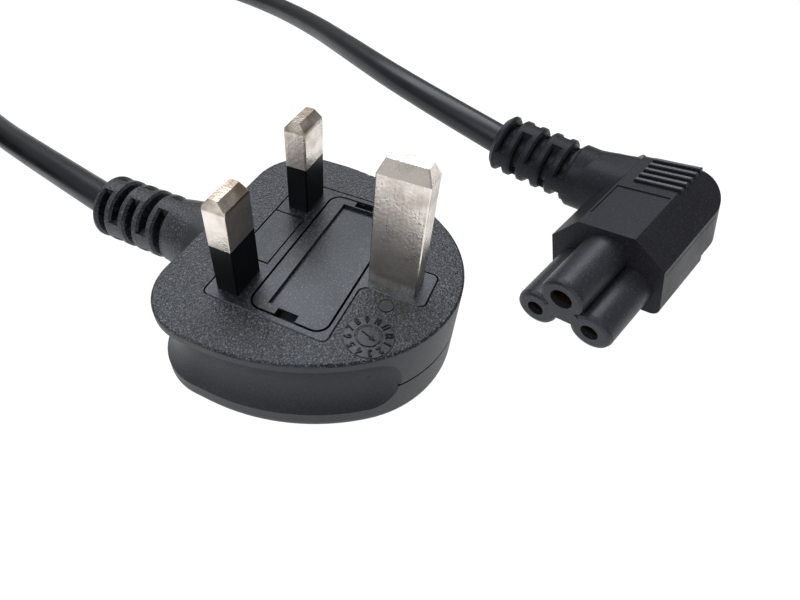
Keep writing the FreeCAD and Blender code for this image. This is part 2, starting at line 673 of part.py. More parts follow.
def pin(label, place, wide, thick, tall, ends, sides, shank):
    """A pin: tail, shank and a full blade with a bevelled tip. Ends and sides are bevels: height, inset."""
    body = new_body(label, place)
    tail = ["-tail_wide/2", "tail_wide/2", "-tail_thick/2", "tail_thick/2"]
    box_pad(body, f"{label}_tail", tail, "pin_round", "-sleeve_root", "tail_drop - sleeve_root", down=True)
    if shank:
        inner = [f"-({wide})/2 + sleeve_wall", f"({wide})/2 - sleeve_wall",
                 f"-({thick})/2 + sleeve_wall", f"({thick})/2 - sleeve_wall"]
        box_pad(body, f"{label}_shank", inner, "pin_round", "-sleeve_root", f"{shank} + sleeve_root")
    full = [f"-({wide})/2", f"({wide})/2", f"-({thick})/2", f"({thick})/2"]
    start = shank or "-sleeve_root"
    box_pad(body, f"{label}_blade", full, "pin_round", start, f"{tall} - {ends[0]} - ({start})")
    steps = [rounded_sketch(body, f"{label}_tip_foot", *full, "pin_round", f"{tall} - {ends[0]}")]
    if sides[0] != ends[0]:
        past = f"{ends[1]}*(1 - {sides[0]}/{ends[0]})"
        begun = [f"-({wide})/2 + {past}", f"({wide})/2 - {past}", f"-({thick})/2", f"({thick})/2"]
        steps.append(rounded_sketch(body, f"{label}_tip_side", *begun, "pin_round", f"{tall} - {sides[0]}"))
    small = [f"-({wide})/2 + {ends[1]}", f"({wide})/2 - {ends[1]}",
             f"-({thick})/2 + {sides[1]}", f"({thick})/2 - {sides[1]}"]
    steps.append(rounded_sketch(body, f"{label}_tip_end", *small, "pin_round", tall))
    loft(body, steps, f"{label}_tip")
    return body


def sleeve(label, place):
    """The insulating sleeve round a line pin's shank, flush with its blade."""
    body = new_body(label, place)
    full = ["-pin_wide/2", "pin_wide/2", "-pin_thin/2", "pin_thin/2"]
    inner = ["-pin_wide/2 + sleeve_wall", "pin_wide/2 - sleeve_wall",
             "-pin_thin/2 + sleeve_wall", "pin_thin/2 - sleeve_wall"]
    box_pad(body, f"{label}_wall", full, "pin_round", "-sleeve_root", "sleeve_long + sleeve_root")
    box_pocket(body, f"{label}_bore", inner, "pin_round", "-sleeve_root", "sleeve_long + sleeve_root", up=True)
    return body


def at(x=0, y=0, z=0):
    """A place by its distance from the middle of the face."""
    return Placement(Vector(x, y, size("body_thick") + z), Rotation())


half_apart = size("pin_apart") / 2
line_sizes = ("pin_wide", "pin_thin", "pin_long", ("pin_tip", "pin_bevel"),
              ("pin_side_tip", "pin_side_bevel"), "sleeve_long")
live_pin = pin("live_pin", at(-half_apart), *line_sizes)
neutral_pin = pin("neutral_pin", at(half_apart), *line_sizes)
earth_pin = pin("earth_pin", at(0, size("pin_apart")), "earth_wide", "earth_deep", "earth_long",
                ("earth_tip", "earth_bevel"), ("earth_tip", "earth_end_bevel"), None)
live_sleeve = sleeve("live_sleeve", at(-half_apart))
neutral_sleeve = sleeve("neutral_sleeve", at(half_apart))

# Pin carrier: the rigid moulding that holds the pins, the clips and the fuse carrier

FUSE_DROP = "(lid_thick + fuse_gap + fuse_dia/2)"
FLOOR_DROP = f"({FUSE_DROP} + fuse_dia/2 + fuse_gap + clip_sheet)"
CLIP_MIDDLE = "(fuse_long/2 - cap_long/2)"


def carrier_block(label):
    """The pin carrier's outline, with its pad round the earth pin."""
    body = new_body(label, plug_place)
    main = ["-carrier_half", "carrier_half", "-carrier_low", "carrier_high"]
    box_pad(body, f"{label}_main", main, "pad_round", "0", "carrier_drop", down=True)
    earth = ["-pad_half", "pad_half", "carrier_high - 2*pad_round", "pad_high"]
    box_pad(body, f"{label}_pad", earth, "pad_round", "0", "carrier_drop", down=True)
    fillet(body, f"{label}_inner", "pad_round",
           lambda p: near(abs(p.x), size("pad_half")) and near(p.y, size("carrier_high")))
    return body


carrier_seat = carrier_block("carrier_seat")
carrier_form = carrier_block("carrier_form")
chamfer(carrier_form, "carrier_groove", "groove",
        lambda p: near(p.z, 0))
box_pocket(carrier_form, "lid_seat", ["-lid_long/2 - lid_gap", "lid_long/2 + lid_gap",
                                      "fuse_row - lid_wide/2 - lid_gap", "fuse_row + lid_wide/2 + lid_gap"],
           "lid_round + lid_gap", "0", "lid_thick + lid_gap")
WELL_HALF = "(fuse_dia/2 + fuse_gap + cheek_thick + lid_gap)"
box_pocket(carrier_form, "fuse_well", ["-fuse_long/2 - well_ends", "fuse_long/2 + well_ends",
                                       f"fuse_row - {WELL_HALF}", f"fuse_row + {WELL_HALF}"],
           None, "-lid_thick", f"{FLOOR_DROP} - lid_thick")
panel_lines = []
for label, length, width, x, y in (
        ("panel_left", "groove", "panel_high + carrier_low", "-panel_half - groove/2", "-carrier_low"),
        ("panel_right", "groove", "panel_high + carrier_low", "panel_half - groove/2", "-carrier_low"),
        ("panel_end", "2*panel_half + groove", "groove", "-panel_half - groove/2", "panel_high - groove")):
    panel_lines.append(primitive("Box", label, Length=length, Width=width, Height="2*groove",
                                 Placement__Base__x=x, Placement__Base__y=y,
                                 Placement__Base__z="body_thick - groove"))

# Fuse carrier and the fuse in it

fuse_carrier = new_body("fuse_carrier", at(0, size("fuse_row")))
box_pad(fuse_carrier, "lid", ["-lid_long/2", "lid_long/2", "-lid_wide/2", "lid_wide/2"], "lid_round", "0",
        "lid_thick", down=True)
for side, word in ((-1, "low"), (1, "high")):
    inner, outer = "(fuse_dia/2 + fuse_gap)", "(fuse_dia/2 + fuse_gap + cheek_thick)"
    across = [f"-{outer}", f"-{inner}"] if side < 0 else [inner, outer]
    box_pad(fuse_carrier, f"cheek_{word}", ["-cheek_long/2", "cheek_long/2"] + across, None, "-lid_thick",
            "cheek_drop", down=True)
box_pocket(fuse_carrier, "dish", ["-dish_long/2", "dish_long/2", "-dish_wide/2", "dish_wide/2"], None, "0",
           "dish_deep")
for side, word in ((-1, "left"), (1, "right")):
    inner, outer = "(lid_long/2 - notch_long)", "(lid_long/2 + notch_long)"
    along = [f"-{outer}", f"-{inner}"] if side < 0 else [inner, outer]
    box_pocket(fuse_carrier, f"notch_{word}", along + ["-notch_wide/2", "notch_wide/2"], None, "0",
               "notch_deep")


def fuse_round(label, dia, start, length):
    """A round bar on the fuse's axis, from a distance along X."""
    return primitive("Cylinder", label, Radius=f"({dia})/2", Height=length, Placement__Base__x=start,
                     Placement__Base__y="fuse_row", Placement__Base__z=f"body_thick - {FUSE_DROP}")


def lay_along_x(piece):
    """Turns a cylinder to run along X and keeps the place that the sheet gives it."""
    piece.Placement = Placement(piece.Placement.Base, Rotation(Y_AXIS, 90))
    return piece


tube_bar = lay_along_x(fuse_round("tube_bar", "fuse_dia - 2*cap_wall", "-fuse_long/2 + cap_wall",
                                  "fuse_long - 2*cap_wall"))
tube_hole = lay_along_x(fuse_round("tube_hole", "tube_bore", "-fuse_long/2", "fuse_long"))
fuse_tube = without("fuse_tube", tube_bar, [tube_hole])
fuse_wire = lay_along_x(fuse_round("fuse_wire", "wire_dia", "-fuse_long/2 + cap_wall",
                                   "fuse_long - 2*cap_wall"))
caps = {}
for word, start, inside in (("left", "-fuse_long/2", "-fuse_long/2 + cap_wall"),
                            ("right", "fuse_long/2 - cap_long", "fuse_long/2 - cap_long")):
    outer = lay_along_x(fuse_round(f"cap_{word}_bar", "fuse_dia", start, "cap_long"))
    inner = lay_along_x(fuse_round(f"cap_{word}_hole", "fuse_dia - 2*cap_wall", inside,
                                   "cap_long - cap_wall"))
    caps[word] = without(f"fuse_cap_{word}", outer, [inner])

# Fuse clips, each with the strip that leads to its pin or core


def fuse_clip(label, middle):
    """A channel of brass sheet round an end cap."""
    body = new_body(label, at(middle, size("fuse_row")))
    inner, outer = "(fuse_dia/2 + fuse_gap)", "(fuse_dia/2 + fuse_gap + clip_sheet)"
    floor = [f"-clip_long/2", "clip_long/2", f"-{outer}", outer]
    box_pad(body, f"{label}_floor", floor, None, f"-{FLOOR_DROP}", "clip_sheet")
    for word, across in (("low", [f"-{outer}", f"-{inner}"]), ("high", [inner, outer])):
        box_pad(body, f"{label}_{word}", ["-clip_long/2", "clip_long/2"] + across, None, f"-{FLOOR_DROP}",
                "clip_high")
    return body


clip_middle = evaluate(CLIP_MIDDLE)
live_clip = fuse_clip("live_clip_channel", -clip_middle)
strip = primitive("Box", "live_strip", Length="tail_wide",
                  Width=f"fuse_row - fuse_dia/2 - fuse_gap - tail_thick/2", Height="clip_sheet",
                  Placement__Base__x="-pin_apart/2 - tail_wide/2", Placement__Base__y="tail_thick/2",
                  Placement__Base__z=f"body_thick - {FLOOR_DROP}")
fuse_clip_live = joined("fuse_clip_live", [live_clip, strip])
supply_clip = fuse_clip("supply_clip_channel", clip_middle)
tag = primitive("Box", "supply_tag", Length="crimp_dia", Width="clip_sheet",
                Height=f"tail_drop - {FLOOR_DROP} + clip_sheet", Placement__Base__x="brown_side - crimp_dia/2",
                Placement__Base__y="fuse_row - clip_sheet/2", Placement__Base__z="body_thick - tail_drop")
fuse_clip_supply = joined("fuse_clip_supply", [supply_clip, tag])
pin_carrier = without("pin_carrier", carrier_form,
                      [live_pin, neutral_pin, earth_pin, live_sleeve, neutral_sleeve, fuse_clip_live,
                       fuse_clip_supply] + panel_lines)

# Cores and crimps inside the plug

relief_level = size("body_thick") - size("cord_drop")
core_level = size("body_thick") - size("core_drop")
stripped = -size("sheath_end")
lay_round = (size("core_dia") + size("core_gap")) / math.sqrt(3)
fan_from = stripped + size("core_dia") / 2
fan_to = -size("tail_thick") / 2 - size("crimp_long") - size("core_dia") / 2
ends = {"neutral": (half_apart, -size("tail_thick") / 2, 40), "earth": (0, size("pin_apart")
        - size("tail_thick") / 2, 160), "live": (size("brown_side"), size("fuse_row")
        - size("clip_sheet") / 2, 280)}
plug_cores, plug_crimps = {}, {}
for word, (x, stop, angle) in ends.items():
    crimp_start = stop - size("crimp_long")
    lay = math.radians(angle)
    x0, z0 = lay_round * math.cos(lay), relief_level + lay_round * math.sin(lay)
    bar = folded_bar([(x0, stripped, z0), (x0, fan_from, z0), (x, fan_to, core_level),
                      (x, crimp_start, core_level)], size("core_dia"))
    plug_cores[word] = shaped(f"core_{word}", bar)
    barrel = Part.makeCylinder(size("crimp_dia") / 2, size("crimp_long"), Vector(x, crimp_start, core_level),
                               Y_AXIS)
    plug_crimps[word] = shaped(f"crimp_{word}", barrel)
plug_sheath = shaped("cord_end_plug", Part.makeCylinder(
    size("cord_dia") / 2, size("relief_end") - size("sheath_end"), Vector(0, -size("relief_end"), relief_level),
    Y_AXIS))
gripped = without("gripped_moulding", moulding, recesses)
plug_form = joined("plug_form", [gripped, foot, plug_relief])
plug_body = without("plug_body", plug_form,
                    [carrier_seat, live_pin, neutral_pin, earth_pin, fuse_clip_supply, plug_sheath]
                    + list(plug_cores.values()) + list(plug_crimps.values()))

# Connector, drawn from the foot of its front face: X across the block, Y to its rear, Z up

head_turn = (Rotation(Z_AXIS, size("head_yaw")) * Rotation(X_AXIS, size("head_nod"))
             * Rotation(Y_AXIS, -size("head_lean")))
head_place = Placement(Vector(size("head_x"), size("head_y"), size("head_z")), head_turn)


def on_head(x, y, z, turn=Rotation()):
    """A place given from the foot of the block's front face."""
    return head_place * Placement(Vector(x, y, z), turn)


block = new_body("connector_block", head_place)
box_pad(block, "block", ["-head_wide/2", "head_wide/2", "0", "head_long"], None, "0", "head_high")
fillet(block, "rear_curve", "head_curve",
       lambda p: near(p.x, size("head_wide") / 2) and near(p.y, size("head_long")))
for side in ("-", ""):
    bevel = corner_sketch(block, f"bevel{side}_sketch", [
        (f"{side}head_wide/2", "head_high - head_bevel"), (f"{side}head_wide/2", "head_high"),
        (f"{side}(head_wide/2 - head_bevel)", "head_high")], role="XZ_Plane")
    pocket(block, bevel, f"bevel{side}", "head_long")
for side in (-1, 1):
    edge = side * size("head_wide") / 2
    fillet(block, f"block_foot{side + 1}", "foot_round", lambda p: near(p.z, 0) and near(p.x, edge))
fillet(block, "block_crown", "head_crown",
       lambda p: near(p.z, size("head_high")) and near(p.y, size("head_long")))
box_pocket(block, "under_step", ["-head_wide", "head_wide", "head_step", "head_long + head_step"], None, "0",
           "step_high", up=True)
box_pocket(block, "panel", ["-panel_wide/2", "panel_wide/2", "panel_from", "panel_from + panel_long"], None,
           "head_high", "panel_deep")
for ridge in range(int(size("ridge_count"))):
    front = f"ridge_start + {ridge}*ridge_pitch"
    box_pad(block, f"ridge_{ridge}", ["ridge_mid - ridge_long/2", "ridge_mid + ridge_long/2", front,
                                      f"{front} + ridge_pitch/2"], None, "head_high - panel_deep",
            "ridge_proud + panel_deep")

neck = new_body("connector_neck", on_head(0, size("relief_side"), size("relief_high")))
neck_foot = rounded_sketch(neck, "neck_foot", "-neck_reach", "head_long - relief_side - groove/2",
                           "step_high - relief_high + groove/2", "head_high - relief_high - groove/2",
                           "head_crown + groove", "-head_wide/2 + neck_sunk", "YZ_Plane")
neck_end = rounded_sketch(neck, "neck_end", "-relief_dia/2", "relief_dia/2", "-relief_dia/2", "relief_dia/2",
                          "relief_dia/2 - groove", "-neck_out", "YZ_Plane")
loft(neck, [neck_foot, neck_end], "neck_flare")
relief_bend = on_head(-size("head_wide") / 2 - size("bend_out"), size("relief_side"), size("relief_high"),
                      Rotation(Z_AXIS, size("bend_swing")) * Rotation(Y_AXIS, size("bend_rise")))
relief_tip = relief_bend * Placement(Vector(-size("relief_reach"), 0, 0), Rotation(Y_AXIS, 90))
head_relief = strain_relief("head_relief", relief_tip, "relief_reach + neck_sunk", "relief_reach")


POLES = {"live": ("-pole_apart/2", "pole_high", "tube_dia", "hole_dia"),
         "neutral": ("pole_apart/2", "pole_high", "tube_dia", "hole_dia"),
         "earth": ("0", "pole_earth", "tube_earth", "hole_earth")}
TUBE_ALL = "tube_long + socket_deep"
ARC_STEP = 1 - math.sqrt(0.5)


def tube_carrier(label):
    """Three tubes joined by a web, in front of the block and let into it."""
    body = new_body(label, head_place)
    for word, (x, y, outer, _) in POLES.items():
        rings = []
        for step, (inset, back) in enumerate((("0", "tube_round"), (f"{ARC_STEP}*tube_round",
                                              f"{ARC_STEP}*tube_round"), ("tube_round", "0"))):
            rings.append(disc_sketch(body, f"{label}_{word}{step}", [f"{outer} - 2*{inset}"], x, y,
                                     f"tube_long - {back}", "XZ_Plane"))
        pad(body, rings[0], f"{label}_{word}_pad", f"{TUBE_ALL} - tube_round", down=True)
        loft(body, rings, f"{label}_{word}_end")
    web = corner_sketch(body, f"{label}_web", [POLES[word][:2] for word in POLES], "tube_long", "XZ_Plane")
    pad(body, web, f"{label}_web_pad", TUBE_ALL, down=True)
    return body


insert_seat = tube_carrier("insert_seat")
insert_form = tube_carrier("connector_insert")
contacts = {}
for word, (x, y, _, hole) in POLES.items():
    mouth = disc_sketch(insert_form, f"mouth_{word}", [hole], x, y, "tube_long", "XZ_Plane")
    pocket(insert_form, mouth, f"mouth_{word}_pocket", "lip_long")
    outer = f"{hole} + 2*contact_wall"
    room = disc_sketch(insert_form, f"room_{word}", [outer], x, y, "tube_long - lip_long", "XZ_Plane")
    pocket(insert_form, room, f"room_{word}_pocket", f"{TUBE_ALL} - lip_long")
    contact = new_body(f"contact_{word}", head_place)
    bar = disc_sketch(contact, f"contact_{word}_bar", [outer], x, y, "tube_long - lip_long", "XZ_Plane")
    pad(contact, bar, f"contact_{word}_pad", f"{TUBE_ALL} - lip_long", down=True)
    bore = disc_sketch(contact, f"contact_{word}_hole", [hole], x, y, "tube_long - lip_long", "XZ_Plane")
    pocket(contact, bore, f"contact_{word}_bore", "contact_deep")
    contacts[word] = contact

head_cores = {}
side, height = size("relief_side"), size("relief_high")
for word, angle in (("live", 270), ("neutral", 30), ("earth", 150)):
    x, z = (evaluate(each) for each in POLES[word][:2])
    lay = math.radians(angle)
    y_lay, z_lay = lay_round * math.cos(lay), lay_round * math.sin(lay)
    start, past = (relief_bend.multVec(Vector(along, y_lay, z_lay)) for along in (0, size("core_dia")))
    turn = head_place.multVec(Vector(x, side + y_lay, z))
    seat = head_place.multVec(Vector(x, size("socket_deep"), z))
    bar = folded_bar([seat, turn, past, start], size("core_dia"))
    head_cores[word] = shaped(f"connector_core_{word}", bar)
tip = relief_tip.Base
heading = relief_bend.Rotation.multVec(X_AXIS)
head_sheath = shaped("cord_end_connector", Part.makeCylinder(size("cord_dia") / 2, size("relief_reach"), tip,
                                                             heading))
head_form = joined("connector_form", [block, neck, head_relief])
connector_body = without("connector_body", head_form,
                         [insert_seat, head_sheath] + list(contacts.values()) + list(head_cores.values()))

# Cord on the surface: plug to coil, coil, and coil to connector

cord = size("cord_dia")
outer_turn = size("coil_mid") + (size("coil_columns") - 1) * cord / 2
touch = Vector(size("coil_x") - outer_turn, size("coil_y"), 0)
plug_exit = (0, -size("relief_end"), relief_level)
near_tube, near_length = tube_along([plug_exit] + NEAR_ROUTE + [(touch.x, touch.y, cord / 2)], cord)
far_tube, far_length = tube_along([(touch.x, touch.y, 1.5 * cord)] + FAR_ROUTE + [tip], cord)
inner, outer = outer_turn - (size("coil_columns") - 0.5) * cord, outer_turn + cord / 2
tall, soft = size("coil_layers") * cord, cord / 4
coil_ring = spun([(inner + soft, 0), (outer - soft, 0), (outer, soft), (outer, tall - soft),
                  (outer - soft, tall), (inner + soft, tall), (inner, tall - soft), (inner, soft)])
cord_coil = shaped("cord_coil", coil_ring)
cord_coil.Placement = Placement(Vector(size("coil_x"), size("coil_y"), 0), Rotation())
turns = size("coil_columns") * size("coil_layers")
coil_length = turns * 2 * math.pi * size("coil_mid")
print("arc radii:", ", ".join(f"{radius:.0f}" for radius in radii))
print(f"cord: {near_length:.0f} + {coil_length:.0f} + {far_length:.0f} mm = "
      f"{near_length + coil_length + far_length:.0f} mm")

for label, piece in (
        ("plug_body", plug_body), ("pin_carrier", pin_carrier), ("live_pin", live_pin),
        ("neutral_pin", neutral_pin), ("earth_pin", earth_pin), ("live_sleeve", live_sleeve),
        ("neutral_sleeve", neutral_sleeve), ("fuse_carrier", fuse_carrier), ("fuse_tube", fuse_tube),
        ("fuse_wire", fuse_wire), ("fuse_cap_left", caps["left"]), ("fuse_cap_right", caps["right"]),
        ("fuse_clip_live", fuse_clip_live), ("fuse_clip_supply", fuse_clip_supply),
        ("connector_body", connector_body), ("connector_insert", insert_form),
        ("cord_lead", shaped("lead_tube", near_tube)), ("cord_coil", cord_coil),
        ("cord_far", shaped("far_tube", far_tube)), ("cord_end_plug", plug_sheath),
        ("cord_end_connector", head_sheath)):
    keep(label, piece)
for word in ("live", "neutral", "earth"):
    keep(f"core_{word}", plug_cores[word])
    keep(f"crimp_{word}", plug_crimps[word])
    keep(f"contact_{word}", contacts[word])
    keep(f"connector_core_{word}", head_cores[word])

doc.recompute()
for thing in doc.Objects:
    if {"Invalid", "Error"} & set(thing.State):
        raise RuntimeError(f"{thing.Name} failed: {thing.State}")
for piece in nodes:
    shape = piece.Shape
    if shape.isNull() or not shape.isValid() or not shape.Solids:
        raise RuntimeError(f"{piece.Label} has no valid solid")
    if len(shape.Solids) > 1:
        raise RuntimeError(f"{piece.Label} is in {len(shape.Solids)} pieces")

os.makedirs("parts", exist_ok=True)
for piece in nodes:
    piece.Shape.exportStep(f"parts/{piece.Label}.step")
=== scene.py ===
"""Dresses a moulded three pin plug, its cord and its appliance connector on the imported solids.

Sizes are in millimetres, and MM turns them to metres. Only the studio is in metres throughout.
"""

import json
import logging
import math
from dataclasses import dataclass, field
from enum import Enum

import bmesh
import bpy
from mathutils import Matrix, Vector

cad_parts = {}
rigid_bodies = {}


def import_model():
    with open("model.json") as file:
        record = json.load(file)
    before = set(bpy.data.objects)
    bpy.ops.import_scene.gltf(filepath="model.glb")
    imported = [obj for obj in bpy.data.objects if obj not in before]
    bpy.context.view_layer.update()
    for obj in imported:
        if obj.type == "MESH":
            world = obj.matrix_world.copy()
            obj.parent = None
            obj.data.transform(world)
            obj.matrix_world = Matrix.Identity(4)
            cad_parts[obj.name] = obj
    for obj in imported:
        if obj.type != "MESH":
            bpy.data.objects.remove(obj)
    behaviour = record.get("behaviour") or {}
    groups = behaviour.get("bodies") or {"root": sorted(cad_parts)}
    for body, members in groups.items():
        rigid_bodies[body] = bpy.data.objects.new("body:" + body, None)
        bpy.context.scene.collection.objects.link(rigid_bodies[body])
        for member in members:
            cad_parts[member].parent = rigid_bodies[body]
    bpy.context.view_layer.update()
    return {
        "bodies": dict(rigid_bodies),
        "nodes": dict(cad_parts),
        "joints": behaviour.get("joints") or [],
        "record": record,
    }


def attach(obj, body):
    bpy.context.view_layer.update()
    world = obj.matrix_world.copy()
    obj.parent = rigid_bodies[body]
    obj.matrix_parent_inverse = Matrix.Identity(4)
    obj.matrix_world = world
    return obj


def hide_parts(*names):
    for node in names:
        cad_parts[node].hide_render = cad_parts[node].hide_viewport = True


log = logging.getLogger("plug")

MM = 0.001
# Nearly all of a grain's values lie in this range.
CLOUD_RANGE = {"From Min": 0.3, "From Max": 0.7}
# Only the peaks of a grain lie in this range, so the glints drawn with it, which are painted
# highlights, stay apart.
GLINT_RANGE = {"From Min": 0.54, "From Max": 0.70}
# Black plastics mirror a lamp a little bluer than it is.
COOL_SHEEN = "e9f2ff"


def linear(code: str) -> tuple[float, float, float, float]:
    """Turns an sRGB colour into the linear one that shaders take.

    Args:
        code: Six hexadecimal digits, such as "1a1a1c".

    Returns:
        Red, green, blue and an alpha of 1.
    """
    shares = (int(code[i:i + 2], 16) / 255 for i in (0, 2, 4))
    red, green, blue = (s / 12.92 if s <= 0.04045 else ((s + 0.055) / 1.055) ** 2.4 for s in shares)
    return red, green, blue, 1.0


def add_node(
    tree: bpy.types.NodeTree,
    kind: str,
    settings: dict[str, object] | None = None,
    inputs: dict[str, object] | None = None,
) -> bpy.types.Node:
    """Adds a node to a tree.

    Args:
        tree: The tree that gets the node.
        kind: The node's type name.
        settings: Its properties and their values.
        inputs: Its sockets, each with a value or another node's output.

    Returns:
        The node.
    """
    node = tree.nodes.new(kind)
    for name, value in (settings or {}).items():
        setattr(node, name, value)
    for name, value in (inputs or {}).items():
        socket = node.inputs[int(name)] if name.isdigit() else node.inputs[name]
        if isinstance(value, bpy.types.NodeSocket):
            tree.links.new(value, socket)
        else:
            socket.default_value = value
    return node


@dataclass(frozen=True)
class Grain:
    """A surface's pattern of soft lumps, each size_mm wide.

    detail is how many octaves of finer lumps lie on them. stretch has a factor for each axis, which
    is smaller where the lumps are drawn out.
    """

    size_mm: float
    detail: float = 2.0
    stretch: tuple[float, float, float] = (1.0, 1.0, 1.0)

    def draw(self, tree: bpy.types.NodeTree, place: bpy.types.NodeSocket) -> bpy.types.NodeSocket:
        """Draws the pattern.

        Args:
            tree: The material's tree.
            place: The point shaded, in the object's frame, in metres.

        Returns:
            The pattern's height, from 0 to 1.
        """
        moved = add_node(tree, "ShaderNodeMapping", {"vector_type": "POINT"}, {
            "Vector": place, "Scale": self.stretch})
        return add_node(tree, "ShaderNodeTexNoise", inputs={
            "Vector": moved.outputs[0], "Scale": 1 / (self.size_mm * MM), "Detail": self.detail,
            "Roughness": 0.5}).outputs[0]


class Finish:
    """A surface finish that makes one material."""

    name: str

    def shade(self, tree: bpy.types.NodeTree, place: bpy.types.NodeSocket) -> bpy.types.Node:
        """Builds the shader.

        Args:
            tree: The material's tree.
            place: The point shaded, in the object's frame, in metres.

        Returns:
            The node whose first output is the surface.
        """
        raise NotImplementedError

    def material(self) -> bpy.types.Material:
        """Makes the material the first time that it is asked for.

        Returns:
            The material.
        """
        if self.name in bpy.data.materials:
            return bpy.data.materials[self.name]
        made = bpy.data.materials.new(self.name)
        made.use_nodes = True
        tree = made.node_tree
        tree.nodes.clear()
        place = add_node(tree, "ShaderNodeTexCoord").outputs["Object"]
        surface = self.shade(tree, place).outputs[0]
        add_node(tree, "ShaderNodeOutputMaterial", inputs={"Surface": surface})
        return made


@dataclass(frozen=True)
class MouldedPolymer(Finish):
    """A moulded or extruded polymer.

    The eye gets one colour with a soft sheen that comes and goes over some millimetres, and small
    glints: painted highlights, flecks of a paler colour at a grain's peaks, that stand in for the
    highlights of the etched texture. That texture is about 0.1 mm wide and would vanish in the
    render, so texture_mm and glint_mm draw it three to four times as coarse.
    """

    name: str
    colour: str
    light: str
    roughness: float
    spread: float
    texture_mm: float
    depth_mm: float
    # glint is the colour of the painted highlights at the grain's peaks; without it they take the light
    # colour.
    glint: str = ""
    specular: float = 0.5
    glint_mm: float = 0.3
    cloud_mm: float = 7.0

    def shade(self, tree: bpy.types.NodeTree, place: bpy.types.NodeSocket) -> bpy.types.Node:
        """Builds the shader.

        Args:
            tree: The material's tree.
            place: The point shaded, in the object's frame, in metres.

        Returns:
            The node whose first output is the surface.
        """
        clouds = Grain(self.cloud_mm, 3.0).draw(tree, place)
        lighter = add_node(tree, "ShaderNodeMapRange", inputs={"Value": clouds, **CLOUD_RANGE})
        plain = add_node(tree, "ShaderNodeMix", {"data_type": "RGBA"}, {
            "Factor": lighter.outputs[0], "A": linear(self.colour), "B": linear(self.light)})
        # Painted highlights: flecks of the glint colour at the peaks of a fine grain.
        glints = add_node(tree, "ShaderNodeMapRange", inputs={
            "Value": Grain(self.glint_mm).draw(tree, place), **GLINT_RANGE})
        colour = add_node(tree, "ShaderNodeMix", {"data_type": "RGBA"}, {
            "Factor": glints.outputs[0], "A": plain.outputs["Result"],
            "B": linear(self.glint or self.light)})
        rough = add_node(tree, "ShaderNodeMapRange", inputs={
            "Value": clouds, **CLOUD_RANGE,
            "To Min": self.roughness - self.spread, "To Max": self.roughness + self.spread})
        bump = add_node(tree, "ShaderNodeBump", inputs={
            "Height": Grain(self.texture_mm).draw(tree, place), "Distance": self.depth_mm * MM,
            "Strength": 1.0})
        return add_node(tree, "ShaderNodeBsdfPrincipled", inputs={
            "Base Color": colour.outputs["Result"], "Roughness": rough.outputs[0],
            "Normal": bump.outputs[0], "IOR": 1.5, "Specular IOR Level": self.specular,
            "Specular Tint": linear(COOL_SHEEN)})


